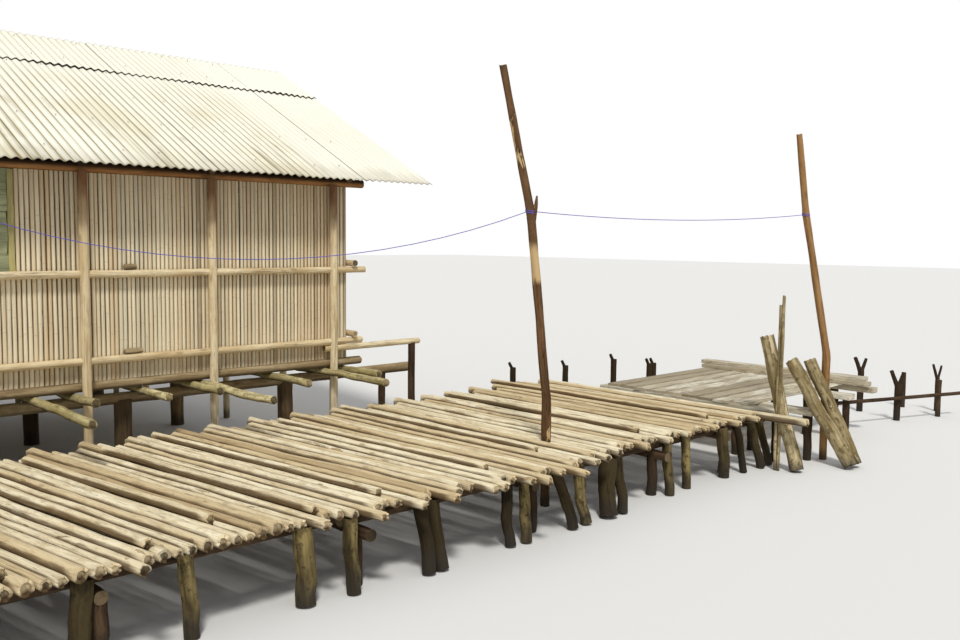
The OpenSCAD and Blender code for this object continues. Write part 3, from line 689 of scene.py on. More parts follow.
@dataclass
class Woodyard:
    """Makes round and forked timber from spines and solids.

    A solid with more corners than fork_corners is forked, unless it is one of the long rods.
    """

    fork_corners: int = 200
    fork_tone: float = 0.4
    fork_voxel: float = 0.006
    fork_bark: float = 0.008
    seed_step: int = 7

    def __post_init__(self) -> None:
        """Builds the timber trees once."""
        self.timber, self.bark = timber_tree(), bark_tree()

    def poles(self, name: str, spines: Sequence[Spine], kind: Timber, finish: bpy.types.Material) -> bpy.types.Object:
        """Makes one mesh of round timber.

        Args:
            name: the piece's name.
            spines: middle lines with their radii.
            kind: how the timber is shaped.
            finish: its material.

        Returns:
            The mesh object.
        """
        data = bpy.data.curves.new(name + "_line", "CURVE")
        data.dimensions = "3D"
        for spine in spines:
            line = data.splines.new("POLY")
            line.points.add(len(spine.points) - 1)
            flat = np.hstack([spine.points, np.ones((len(spine.points), 1))])
            line.points.foreach_set("co", flat.astype(np.float32).ravel())
            line.points.foreach_set("radius", np.asarray(spine.radii, np.float32))
        sizes = {key.title(): value for key, value in asdict(kind).items()}
        return grow(self.timber, linked(name + "_line", data), name, {**sizes, "Finish": finish})

    def forked(self, name: str, shapes: Sequence[Solid], finish: bpy.types.Material) -> bpy.types.Object:
        """Makes forked timber from its solids, with its joints grown together.

        Args:
            name: the piece's name.
            shapes: points and triangles of each solid.
            finish: their material.

        Returns:
            The mesh object.
        """
        data = bpy.data.meshes.new(name + "_rough")
        points, faces = [], []
        for cloud, triangles in shapes:
            faces += (triangles + len(points)).tolist()
            points += cloud.tolist()
        data.from_pydata(points, [], faces)
        source = linked(name + "_rough", data)
        even = source.modifiers.new("even", "REMESH")
        even.mode, even.voxel_size = "VOXEL", self.fork_voxel
        return grow(self.bark, source, name, {"Depth": self.fork_bark, "Tone": self.fork_tone, "Finish": finish})

    def lay(self, nodes: str, kind: Timber, wood: "Wood", slot: str = "weathered_pole", span: Span = ANYWHERE,
            mark: str = "") -> None:
        """Replaces nodes of round timber, each by a mesh of its own.

        Args:
            nodes: the nodes, with a space between them.
            kind: how the timber is shaped.
            wood: its finish.
            slot: its material slot in the record.
            span: only solids whose middle has an X in this range.
            mark: end of the pieces' names.
        """
        for number, node in enumerate(nodes.split()):
            rods, forks = [], []
            for cloud, triangles in meshes(node):
                if span[0] < (cloud[:, 0].min() + cloud[:, 0].max()) / 2 <= span[1]:
                    straight = len(cloud) <= self.fork_corners or "line_pole" in node or "rails" in node
                    (rods if straight else forks).append((cloud, triangles))
            if rods:
                own = replace(kind, seed=kind.seed + self.seed_step * number)
                spines = [Spine.of(cloud) for cloud, _ in rods]
                show(self.poles(node + "_timber" + mark, spines, own, wood.made()), slot, node)
            if forks:
                show(self.forked(node + "_forks" + mark, forks, wood.made()), slot, node)


def reed_spines(cloud: np.ndarray, across: int, along: int, width: float, rng: np.random.Generator) -> list[Spine]:
    """Lays single canes where a reeded panel stands.

    Args:
        cloud: corner points of the panel.
        across: the axis on which the canes follow each other.
        along: the axis on which they run.
        width: their thickness.
        rng: source of small differences.

    Returns:
        One spine for each cane.
    """
    overlap, sway, bulge = 0.001, 0.0012, 0.0015
    low, high = cloud.min(0), cloud.max(0)
    depth = 3 - across - along
    middle = (low[depth] + high[depth]) / 2
    span = high[across] - low[across] - width
    count = max(1, math.ceil(span / (width - overlap)))
    made = []
    for i in range(count + 1):
        at = low[across] + width / 2 + i * span / count
        near = cloud[np.abs(cloud[:, across] - at) < width * 0.6]
        near = near if len(near) else cloud
        ends = np.zeros((2, 3))
        ends[:, across] = at + rng.normal(0, sway, 2)
        ends[:, depth] = middle + rng.normal(0, bulge, 2)
        ends[:, along] = near[:, along].min(), near[:, along].max()
        if len(near) > 8:
            tops = near[near[:, along] > ends[:, along].mean(), along]
            ends[1, along] = np.median(tops) if len(tops) else ends[1, along]
        radius = width / 2 * rng.uniform(0.90, 1.04)
        made.append(Spine(ends, np.array([radius, radius * rng.uniform(0.93, 1.0)])))
    return made


def saw_boards(node: str, wood: "Wood", slot: str, seed: int, wear: float = 0.0025, chamfer: float = 0.003) -> None:
    """Replaces a node of boxes by sawn boards with worn edges.

    Args:
        node: the node.
        wood: their finish.
        slot: their material slot in the record.
        seed: seed of the wear.
        wear: how far the faces wander, in metres.
        chamfer: width of the worn edges.
    """
    # the last number sets the painted shade along each board's long edges, where the boards meet
    step, slant, edge_shade = 0.12, 0.008, 0.85
    rng = np.random.default_rng(seed)
    points, faces, grain, tone, edge = [], [], [], [], []
    for cloud in solids(node):
        low, high = cloud.min(0), cloud.max(0)
        size, centre, own = high - low, (low + high) / 2, rng.random()
        run, wide, thick = np.argsort(-size)
        steps = max(2, int(size[run] / step))
        w, h, c = size[wide] / 2, size[thick] / 2, chamfer
        ring = [(-w + c, -h), (0, -h), (w - c, -h), (w, -h + c), (w, h - c), (w - c, h), (0, h), (-w + c, h),
                (-w, h - c), (-w, -h + c)]
        first = len(points)
        for s in range(steps + 1):
            at = low[run] + size[run] * s / steps
            outwards = (s == steps) - (s == 0)
            skew = rng.uniform(-1, 1, 2) * slant if outwards else (0, 0)
            for a, b in ring:
                p = np.zeros(3)
                p[run] = at + outwards * (skew[0] * a / w + skew[1] * b / h * 0.2 - abs(skew[0]))
                p[wide] = centre[wide] + a + rng.normal(0, wear * 0.4) * (abs(a) > w * 0.9)
                p[thick] = centre[thick] + b + rng.normal(0, wear * 0.25)
                points.append(tuple(p))
                grain.append((a + own * 7, b + own * 3, at + own * 19))
                tone.append(own)
                edge.append(edge_shade if w - 1.5 * c < abs(a) < w - c / 2 else 0.0)
        rows = np.arange(first, len(points)).reshape(-1, len(ring))
        beside = np.roll(rows, -1, 1)
        quads = np.stack([rows[:-1], beside[:-1], beside[1:], rows[1:]], 2).reshape(-1, 4)
        skin = [*quads.tolist(), rows[0, ::-1].tolist(), rows[-1].tolist()]
        turned = np.linalg.det(np.eye(3)[[run, wide, thick]]) < 0
        faces += skin if turned else [face[::-1] for face in skin]
    mesh = bpy.data.meshes.new(node + "_sawn")
    mesh.from_pydata(points, [], faces)
    for key, kind, field, values in (("grain", "FLOAT_VECTOR", "vector", grain), ("tone", "FLOAT", "value", tone),
                                     ("edge", "FLOAT", "value", edge)):
        mesh.attributes.new(key, kind, "POINT").data.foreach_set(field, np.array(values, np.float32).ravel())
    mesh.materials.append(wood.made())
    show(linked(node + "_sawn", mesh), slot, node)


# ---------------- finishes


@dataclass(frozen=True)
class WoodFinish:
    """Weathered round timber or sawn boards."""

    name: str
    pale: Colour
    mid: Colour
    dark: Colour
    end: Colour
    cracks: float = 0.5
    knots: float = 0.4
    rough: float = 0.85
    relief: float = 0.002
    fibre: float = 60.0
    wet: float = 0.10
    peel: float = 0.0
    peeled: Colour = (0.62, 0.52, 0.38)
    patchy: float = 1.0
    streaks: float = 0.55
    spread: float = 0.45
    # strength of the darker red-brown towards the tops of the posts
    brow: float = 0.0
    # strength of the painted shade on faces that look down
    under: float = 0.0
    # strength of the painted shade on faces that look sideways: the gaps between poles and between boards
    gaps: float = 0.0
    # height above which the top is darkened as painted shade under the eave
    lid: float = 0.0
    burnt: float = 0.45
    mottle: float = 0.5
    patch_run: float = 7.0
    band: Span = (0.0, 0.0)

    def make(self) -> bpy.types.Material:
        """Builds the material with its fibres, cracks, knots and wet foot, and with painted shade where its fields
        ask for it.

        Returns:
            The material.
        """
        p = Paint(self.name, self.pale)
        grain, tone = p.attribute("grain", "Vector"), p.attribute("tone")
        fibre = p.fibres(grain, self.fibre, self.fibre * 0.06, 4.0, 0.6)
        blotch = p.fibres(grain, 9.0, 2.2, 3.0, 0.6)
        p.coat((1.0 - p.smooth(blotch, 0.35, 0.65)) * self.patchy, self.mid)
        own = p.draw(tone, 17.3)
        p.coat(p.smooth(own, 0.35, 0.75) * self.spread, self.mid)
        p.coat(p.smooth(own, 0.80, 1.0) * self.spread, p.mix(0.55, self.mid, self.dark))
        p.coat(p.smooth(fibre, 0.45, 0.72) * self.streaks, self.dark)
        flecks = p.fibres(grain, 22.0, self.patch_run, 4.0, 0.7)
        p.coat(p.smooth(flecks, 0.50, 0.64) * self.mottle, p.mix(0.45, self.mid, self.dark))
        crack = 1.0 - p.smooth(abs(p.fibres(grain, 70.0, 1.6, 2.0, 0.5) - 0.5), 0.0, 0.022)
        crack = crack * p.smooth(p.fibres(grain, 12.0, 1.1), 0.50, 0.60)
        p.coat(crack * self.cracks, dim(self.dark, 0.35))
        cells = p.vector("MULTIPLY", grain, (8.0, 8.0, 3.0))
        knot = 1.0 - p.smooth(p.node("ShaderNodeTexVoronoi", {"Vector": cells, "Scale": 1.0}), 0.05, 0.16)
        p.coat(knot * self.knots, dim(self.dark, 0.6))
        if self.peel:
            flake = p.fibres(grain, 11.0, 1.7, 5.0, 0.62, 0.5)
            patch = p.smooth(flake, 1.0 - self.peel, 1.03 - self.peel)
            rim = p.smooth(flake, 0.97 - self.peel, 1.0 - self.peel) * (1.0 - patch)
            p.coat(rim * 0.7, dim(self.dark, 0.6))
            p.coat(patch * (0.75 + fibre * 0.35), self.peeled)
        _, _, height = p.split(p.place())
        low, high = self.band
        if high > low:
            level = height + (blotch - 0.5) * 0.3
            bare = p.smooth(level, low - 0.03, low + 0.03) * (1.0 - p.smooth(level, high - 0.05, high + 0.05))
            p.coat(bare * (0.7 + fibre * 0.35), self.peeled)
        core, speck = p.attribute("core"), p.noise(p.place(), 2.0, scale=160.0)
        burnt = p.smooth(p.draw(tone, 23.7), self.burnt, self.burnt + 0.15)
        rind = p.mix(burnt * 0.75, self.end, dim(self.end, 0.25))
        p.coat(p.smooth(core, 0.3, 0.6) * (0.45 + speck * 0.5), rind)
        # darker inside the hollow ends: the inner wood's brown and painted shade in the recess
        hollow_brown_and_shade = p.mix(burnt, dim(self.end, 0.62), dim(self.end, 0.14))
        p.coat(p.smooth(core, 0.8, 1.0) * (0.55 + speck * 0.4), hollow_brown_and_shade)
        # painted shade on the faces that look down
        if self.under:
            p.coat(p.smooth(p.attribute("under"), 0.10, 0.65) * self.under, dim(self.dark, 0.3))
        # painted shade on the sides, in the gaps between poles and between boards
        if self.gaps:
            sides = p.attribute("edge") + (fibre - 0.5) * 0.3
            p.coat(p.smooth(sides, 0.62, 0.98) * self.gaps, dim(self.dark, 0.5))
        # darker red-brown towards the tops of the posts, under the eave
        if self.brow:
            p.coat(p.smooth(height + (blotch - 0.5) * 0.9, 2.10, 2.62) * self.brow, TOP_RED_BROWN)
        # painted shade on the plate's top, under the eave
        if self.lid:
            p.coat(p.smooth(height, self.lid - 0.012, self.lid + 0.02) * 0.9, EAVE_SHADE_DARK)
        damp = 1.0 - p.smooth(height + (blotch - 0.5) * 0.10, self.wet * 0.4, self.wet + 0.06)
        p.coat(damp * 0.75, MUD)
        relief = fibre * 0.5 + (1.0 - crack) * 0.5 + knot * 0.2 + flecks * 0.5
        return p.finish(self.rough - damp * 0.3, relief, self.relief, 0.07)


@dataclass(frozen=True)
class CaneFinish:
    """Dry canes with rings, streaks and stained feet, and painted shade on their sides and under the eave."""

    name: str
    pale: Colour = (0.93, 0.83, 0.60)
    tan: Colour = (0.79, 0.64, 0.42)
    brown: Colour = (0.19, 0.115, 0.050)
    grey: Colour = (0.77, 0.71, 0.53)
    ring_gap: float = 0.42
    # strength of the painted shade on the canes' sides, between the canes
    side: float = 0.85

    def make(self) -> bpy.types.Material:
        """Builds the material, in which each cane takes its tone from its own number.

        Returns:
            The material.
        """
        p = Paint(self.name, self.pale)
        grain, tone = p.attribute("grain", "Vector"), p.attribute("tone")
        streak, patch = p.fibres(grain, 90.0, 2.2, 4.0, 0.6), p.fibres(grain, 4.0, 2.6, 3.0, 0.6)
        p.coat(p.smooth(p.draw(tone, 7.3), 0.15, 0.9), self.tan)
        p.coat(p.smooth(p.draw(tone, 13.7), 0.60, 0.95) * 0.8, self.grey)
        p.coat(p.smooth(p.draw(tone, 29.3), 0.80, 1.0) * 0.5, self.brown)
        p.coat(p.smooth(patch, 0.52, 0.70) * 0.35, self.grey)
        p.coat(p.smooth(streak, 0.52, 0.78) * 0.40, self.brown)
        # painted shade on the sides of each cane, between the canes
        p.coat(p.smooth(p.attribute("edge") + (streak - 0.5) * 0.25, 0.56, 0.92) * self.side, self.brown)
        _, _, height = p.split(p.place())
        foot = 1.0 - p.smooth(height + (patch - 0.5) * 0.25, 0.98, 1.20)
        p.coat(foot * 0.40, self.brown)
        # painted shade under the eave: the top of the wall darker and amber-brown
        p.coat(p.smooth(height + (patch - 0.5) * 0.6, 2.0, 2.75) * 0.34, EAVE_SHADE_AMBER)
        _, _, along = p.split(grain)
        band = 1.0 - p.smooth(abs(p.maths("FRACT", along / self.ring_gap) - 0.5), 0.004, 0.014)
        p.coat(band * 0.15, self.brown)
        return p.finish(0.72, streak * 0.6 + band * 0.2, 0.0015, 0.10)


@dataclass(frozen=True)
class SheetFinish:
    """Chalky corrugated sheet with grime in its valleys, brown runs, and painted shade at its laps."""

    name: str
    chalk: Colour = (0.94, 0.925, 0.82)
    dust: Colour = (0.80, 0.74, 0.54)
    run: Colour = (0.27, 0.215, 0.110)
    pitch: float = 0.076
    clean_from: float = 3.35

    def make(self) -> bpy.types.Material:
        """Builds the material, whose runs follow the slope and gather at the eave.

        Returns:
            The material.
        """
        p = Paint(self.name, self.chalk)
        spot = p.place()
        x, y, _ = p.split(spot)
        side = abs(y)
        valley = 0.5 - p.maths("COSINE", (x - 0.02) * (2.0 * math.pi / self.pitch)) * 0.5
        cloud = p.fibres(spot, 1.3, 1.3, 4.0, 0.6)
        fine = p.noise(p.vector("MULTIPLY", spot, (40.0, 12.0, 12.0)), 3.0, 0.6)
        lane = p.noise(p.join(x * 13.2, side * 0.5, 0.0), 2.0, 0.65)
        sheet, seam, down = p.attribute("sheet"), p.attribute("seam"), p.attribute("down")
        worn = 1.0 - p.smooth(x + (cloud - 0.5) * 0.5, self.clean_from - 0.15, self.clean_from + 0.15) * 0.8
        worn = worn * (0.35 + p.smooth(side, 0.75, 1.3) * 0.65)
        p.coat(p.smooth(cloud, 0.42, 0.70) * worn * 0.6, self.dust)
        p.coat(sheet * worn * 0.30, self.dust)
        p.coat(p.smooth(valley, 0.62, 0.98) * worn * 0.40, self.dust)
        thread = p.smooth(valley, 0.88, 0.995) * p.least(p.smooth(lane, 0.34, 0.56) + 0.35, 1.0) * worn
        p.coat(thread * 0.85, self.run)
        stain = p.smooth(lane, 0.52, 0.66) * p.smooth(cloud, 0.40, 0.58) * worn * p.smooth(side, 1.1, 2.2)
        p.coat(stain * (0.36 + valley * 0.45), self.run)
        p.coat(p.smooth(side + (lane - 0.5) * 0.5, 2.55, 2.80) * 0.22, self.run)
        p.coat(p.smooth(fine, 0.64, 0.80) * worn * 0.30, self.run)
        # dark line at the side laps of some sheets: painted shade of the lapped edge
        edge = p.smooth(seam, 0.975, 1.0) * p.smooth(p.draw(sheet, 7.7), 0.3, 0.6)
        p.coat(edge * 0.8, dim(self.run, 0.4))
        # dark band at each sheet's low edge: rust along the edge, and painted shadow of the lap
        p.coat(p.smooth(down, 0.988, 1.0) * 0.5, self.run)
        return p.finish(0.62 + valley * 0.2, cloud * 0.4 + fine * 0.2, 0.002, 0.12)


@dataclass(frozen=True)
class PlainFinish:
    """A small even finish with a little mottling."""

    name: str
    colour: Colour
    other: Colour
    rough: float = 0.7
    scale: float = 60.0

    def make(self) -> bpy.types.Material:
        """Builds the material.

        Returns:
            The material.
        """
        p = Paint(self.name, self.colour)
        fleck = p.noise(p.place(), scale=self.scale)
        p.coat(p.smooth(fleck, 0.4, 0.65), self.other)
        return p.finish(self.rough, fleck, 0.0006, 0.15)


class Wood(Enum):
    """The kinds of timber on the house, each with its finish."""

    POST = WoodFinish("post_wood", (0.90, 0.78, 0.53), (0.70, 0.54, 0.31), (0.24, 0.14, 0.060), (0.50, 0.38, 0.22),
                      relief=0.004, mottle=0.40, brow=0.90, peel=0.26, peeled=(0.84, 0.73, 0.50), streaks=0.5)
    # its top is darkened as painted shade under the eave
    PLATE = WoodFinish("plate_wood", (0.47, 0.25, 0.10), (0.34, 0.165, 0.065), (0.12, 0.055, 0.024),
                       (0.40, 0.26, 0.14), relief=0.003, lid=2.708)
    # its undersides get painted shade
    BEAM = WoodFinish("beam_wood", (0.52, 0.42, 0.25), (0.33, 0.24, 0.13), (0.10, 0.065, 0.034), (0.50, 0.38, 0.22),
                      relief=0.003, fibre=45.0, under=0.6)
    SOOT = WoodFinish("sooty_wood", (0.11, 0.075, 0.045), (0.065, 0.042, 0.026), (0.020, 0.014, 0.009),
                      (0.20, 0.14, 0.08), relief=0.003, fibre=45.0)
    # its undersides get painted shade
    JOIST = WoodFinish("joist_bark", (0.84, 0.75, 0.44), (0.44, 0.37, 0.165), (0.090, 0.060, 0.028),
                       (0.60, 0.48, 0.28), relief=0.005, fibre=40.0, under=0.7, mottle=0.75, patch_run=16.0)
    STILT = WoodFinish("stilt_bark", (0.34, 0.24, 0.12), (0.13, 0.088, 0.048), (0.028, 0.019, 0.012),
                       (0.22, 0.15, 0.09), relief=0.005, fibre=36.0, wet=0.16, spread=0.85)
    PROP = WoodFinish("prop_bark", (0.29, 0.225, 0.095), (0.060, 0.044, 0.021), (0.014, 0.010, 0.007),
                      (0.22, 0.15, 0.08), relief=0.005, fibre=36.0, wet=0.16, spread=1.0, mottle=0.8, patch_run=15.0,
                      peel=0.30, peeled=(0.40, 0.29, 0.145))
    LOG = WoodFinish("dark_bark", (0.130, 0.082, 0.046), (0.055, 0.034, 0.020), (0.016, 0.011, 0.007),
                     (0.26, 0.19, 0.11), relief=0.004, fibre=36.0, wet=0.16, spread=0.7)
    # its undersides and the sides between its poles get painted shade
    DECK = WoodFinish("deck_pole", (0.98, 0.90, 0.67), (0.68, 0.53, 0.30), (0.25, 0.150, 0.068), (0.84, 0.66, 0.40),
                      knots=0.35, patchy=0.45, streaks=0.38, spread=0.72, fibre=95.0, under=0.95, gaps=0.9,
                      burnt=0.56, mottle=0.42, peel=0.33, peeled=(0.50, 0.36, 0.185))
    LINE_POLE = WoodFinish("brown_bark", (0.21, 0.115, 0.055), (0.115, 0.062, 0.032), (0.030, 0.018, 0.010),
                           (0.40, 0.28, 0.17), relief=0.006, fibre=40.0, peel=0.42, peeled=(0.66, 0.47, 0.24),
                           band=(1.84, 2.12))
    FAR_POLE = WoodFinish("orange_bark", (0.50, 0.31, 0.14), (0.34, 0.18, 0.070), (0.10, 0.050, 0.022),
                          (0.50, 0.42, 0.20), relief=0.004, fibre=40.0, peel=0.35, peeled=(0.60, 0.35, 0.18))
    LEANER = WoodFinish("mossy_log", (0.62, 0.51, 0.30), (0.27, 0.205, 0.095), (0.070, 0.052, 0.024),
                        (0.36, 0.27, 0.17), relief=0.006, mottle=0.9, patch_run=17.0, fibre=30.0, peel=0.38,
                        peeled=(0.68, 0.56, 0.35))
    # its long edges get painted shade between the boards
    BOARD = WoodFinish("grey_board", (0.84, 0.79, 0.65), (0.56, 0.49, 0.355), (0.18, 0.13, 0.08),
                       (0.44, 0.35, 0.24), fibre=80.0, spread=0.8, gaps=0.9)
    SHUTTER = WoodFinish("green_board", (0.44, 0.46, 0.27), (0.30, 0.32, 0.19), (0.10, 0.09, 0.050),
                         (0.30, 0.27, 0.18), fibre=80.0, spread=0.8)
    JAMB = WoodFinish("jamb_board", (0.60, 0.53, 0.23), (0.43, 0.38, 0.17), (0.16, 0.13, 0.06),
                      (0.36, 0.30, 0.16), fibre=80.0)

    @cache
    def made(self) -> bpy.types.Material:
        """The kind's material, built at its first use."""
        return self.value.make()


# ---------------- sub-assemblies


@dataclass
class House:
    """The room on its stilts: frame timber, cane walls, window and floor."""

    yard: Woodyard
    side: float = 4.2
    peg: float = 0.052
    pegs: tuple[tuple[float, float, float], ...] = ((1.920, 1.53, 1.64), (1.220, 1.52, 1.68))
    cane: float = 0.039
    floor_pole: float = 0.050

    def frame_timber(self) -> None:
        """Replaces posts, rails, sills, plates, stilts and the roof's timber."""
        room, beside = (-math.inf, self.side), (self.side, math.inf)
        stout = Timber(bow=0.014, bark=0.14, fray=0.012, crook=1.6)
        rough = replace(stout, bark=0.24, bow=0.03, free=0.3)
        slim = Timber(sides=10, spacing=0.14, bow=0.016, bark=0.12, swell=0.2, fray=0.012, crook=2.0)
        thick = Timber(sides=16, spacing=0.10, bow=0.016, bark=0.20, swell=0.16, fray=0.004, crook=2.0)
        crooked = Timber(spacing=0.07, bow=0.09, bark=0.26, swell=0.34, fray=0.03, free=0.4, crook=2.2)
        lay = self.yard.lay
        lay("back_posts end_posts end_sills door_jambs", stout, Wood.POST)
        lay("front_posts", stout, Wood.POST, span=room, mark="_wall")
        lay("front_posts", rough, Wood.LOG, "dark_log", beside, "_side")
        lay("long_sills", stout, Wood.BEAM)
        lay("long_plates", stout, Wood.PLATE)
        lay("wall_rails end_rails", slim, Wood.POST)
        lay("tie_beams king_posts ridge_pole front_rafters back_rafters front_purlins back_purlins", slim, Wood.SOOT)
        lay("house_stilts", thick, Wood.STILT, "dark_log", room)
        lay("house_stilts", thick, Wood.LOG, "dark_log", beside, "_side")
        lay("bearers", thick, Wood.BEAM, "dark_log")
        self.wall_pegs(replace(rough, spacing=0.03, bow=0.0))
        lay("joists", crooked, Wood.JOIST)

    def wall_pegs(self, kind: Timber) -> None:
        """Lays short sticks on the wall rails.

        Args:
            kind: how they are shaped.
        """
        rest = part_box("wall_rails")[0].y + self.peg / 2 + 0.008
        spines = []
        for level, start, stop in self.pegs:
            middle = (start + stop) / 2, rest + 0.004, level - 0.002
            line = [(start, rest, level), middle, (stop, rest, level + 0.003)]
            spines.append(Spine(np.array(line), np.array([0.42, 0.5, 0.36]) * self.peg))
        show(self.yard.poles("wall_pegs", spines, kind, Wood.BEAM.made()), "dark_log")

    def canes(self) -> None:
        """Replaces the reeded panels by single canes."""
        finish = CaneFinish("wall_cane").make()
        rng = np.random.default_rng(11)
        slim = Timber(sides=8, spacing=0.42, bow=0.005, bark=0.04, swell=0.08, fray=0.0, rim=0.7)
        wide = Timber(sides=8, spacing=0.6, bow=0.004, bark=0.05, fray=0.004)
        for nodes, across, along, width, kind in (
                ("front_wall_right window_wall front_wall_left back_wall", 0, 2, self.cane, slim),
                ("end_walls gables", 1, 2, self.cane, replace(slim, facing=1.0)),
                ("floor", 1, 0, self.floor_pole, wide)):
            for node in nodes.split():
                spines = [s for cloud in solids(node) for s in reed_spines(cloud, across, along, width, rng)]
                show(self.yard.poles(node + "_canes", spines, kind, finish), "wall_cane", node)

    def window(self) -> None:
        """Makes the closed boards and the jambs of the window."""
        saw_boards("window_boards", Wood.SHUTTER, "green_board", 4)
        saw_boards("window_frame", Wood.JAMB, "green_board", 5)


@dataclass
class Roof:
    """Corrugated sheets and their nails."""

    pitch_deg: float = 27.0
    wave: float = 0.076
    depth: float = 0.018
    cover: float = 0.760
    wall: float = 0.0014
    slip: float = 0.014
    ridge_curl: float = 0.022
    eave_curl: float = 0.004
    under_from: float = 0.1
    nail_radius: float = 0.007
    nail_height: float = 0.005
    nail_gap: float = 0.304
    nail_sway: float = 0.012
    nailed_to: float = 4.1
    missing_nails: float = 0.35

    def row(self, node: str, shape: Shape, seed: int) -> None:
        """Makes one row of sheets in the place of its solid.

        Args:
            node: the solid.
            shape: the sheet tree.
            seed: seed of their small shifts.
        """
        low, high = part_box(node)
        front = low.y + high.y < 0
        near, far = (-low.y, -high.y) if front else (high.y, low.y)
        lean = math.radians(self.pitch_deg)
        length = (near - far - (self.depth + 0.003) * math.sin(lean)) / math.cos(lean)
        count = max(1, round((high.x - low.x) / self.cover))
        cover = round((high.x - low.x - self.wave) / count / self.wave) * self.wave
        made = grow(shape, linked(node + "_start", bpy.data.meshes.new(node + "_start")), node + "_laid", {
            "Width": cover + self.wave, "Length": length, "Pitch": self.wave, "Depth": self.depth, "Cover": cover,
            "Count": count, "Lift": self.wall * 2.0, "Slip": self.slip, "Seed": seed, "Finish": self.chalky,
            "Curl": self.ridge_curl if "upper" in node else self.eave_curl,
        }, self.wall)
        place = Matrix.Translation((0, -(near + far) / 2, (low.z + high.z) / 2)) @ Matrix.Rotation(lean, 4, "X")
        place = place @ Matrix.Translation((low.x + (cover + self.wave) / 2, 0, 0))
        if front:
            made.data.transform(place)
        else:
            made.data.transform(Matrix.Diagonal((1, -1, 1, 1)) @ place)
            made.data.flip_normals()
        self.soot_under(made.data)
        show(made, "roof_sheet", node)

    def soot_under(self, mesh: bpy.types.Mesh) -> None:
        """Gives the faces that look down a dark finish: soot, and painted shade under the roof.

        Args:
            mesh: the sheets.
        """
        mesh.materials.clear()
        mesh.materials.append(self.chalky)
        mesh.materials.append(self.soot)
        downwards = fetch(mesh.polygons, "normal", 3)[:, 2] < self.under_from
        mesh.polygons.foreach_set("material_index", downwards.astype(int))

    def build(self) -> None:
        """Makes the four rows and the nails along the purlins."""
        self.chalky = SheetFinish("roof_sheet").make()
        # the undersides' dark finish: soot, and painted shade under the roof
        self.soot = PlainFinish("sheet_underside", (0.035, 0.026, 0.018), (0.085, 0.060, 0.040), 0.8, 8.0).make()
        shape = sheet_tree()
        rows = ("front_lower_sheets", "front_upper_sheets", "back_lower_sheets", "back_upper_sheets")
        for seed, node in enumerate(rows, 20):
            self.row(node, shape, seed)
        self.nails()

    def nails(self) -> None:
        """Puts a nail through every few crests above each purlin."""
        sine, cosine = math.sin(math.radians(self.pitch_deg)), math.cos(math.radians(self.pitch_deg))
        rng = np.random.default_rng(5)
        steps = int(self.nailed_to / self.nail_gap)
        points = []
        for cloud in solids("front_purlins") + solids("back_purlins"):
            low, high = cloud.min(0), cloud.max(0)
            _, y, z = (low + high) / 2
            side = -1 if y < 0 else 1
            lift = (high[2] - low[2]) / 2 + self.depth + 0.004
            for k in range(-steps, steps + 1):
                if rng.random() >= self.missing_nails:
                    drift = rng.normal(0, self.nail_sway)
                    points.append((k * self.nail_gap, y + side * (lift * sine + drift * cosine),
                                   z + lift * cosine - drift * sine))
        data = bpy.data.meshes.new("nail_points")
        data.from_pydata(points, [], [])
        rust = PlainFinish("nail_rust", (0.20, 0.12, 0.07), (0.34, 0.24, 0.15)).make()
        sizes = {"Radius": self.nail_radius, "Height": self.nail_height, "Finish": rust}
        show(grow(nail_tree(), linked("nail_points", data), "roof_nails", sizes), "roof_sheet")


@dataclass
class Deck:
    """Laid poles on their stringers, cross logs and posts."""

    yard: Woodyard

    def build(self) -> None:
        """Replaces the deck's timber."""
        laid = Timber(sides=14, spacing=0.11, bow=0.030, bark=0.08, swell=0.20, fray=0.045, hollow=0.009, rim=0.66,
                      thin=0.12, crook=1.4)
        self.yard.lay("deck_poles", laid, Wood.DECK, "deck_pole")
        thick = Timber(sides=14, spacing=0.06, bow=0.05, bark=0.24, swell=0.3, fray=0.0, free=0.15, crook=3.0)
        self.yard.lay("deck_posts deck_cross_logs landing_posts", thick, Wood.LOG, "dark_log")
        self.yard.lay("deck_front_posts", replace(thick, bow=0.09), Wood.PROP, "dark_log")
        # the stringers take the dark bark as painted shade under the deck poles
        self.yard.lay("deck_stringers", Timber(fray=0.01), Wood.LOG)


@dataclass
class Landing:
    """Sawn boards on flat beams, with the logs and stakes beside them."""

    yard: Woodyard

    def build(self) -> None:
        """Makes the boards, the leaning logs and the forked stakes."""
        for seed, node in enumerate(("landing_boards", "landing_beams"), 8):
            saw_boards(node, Wood.BOARD, "grey_board", seed, 0.004, 0.004)
        log_kind = Timber(sides=20, spacing=0.05, bow=0.07, bark=0.20, swell=0.24, fray=0.02, rim=0.8, crook=1.6)
        self.yard.lay("leaning_logs", log_kind, Wood.LEANER, "dark_log")
        stakes = Timber(sides=10, spacing=0.10, bow=0.015, bark=0.14)
        self.yard.lay("far_stakes", stakes, Wood.LOG, "dark_log")


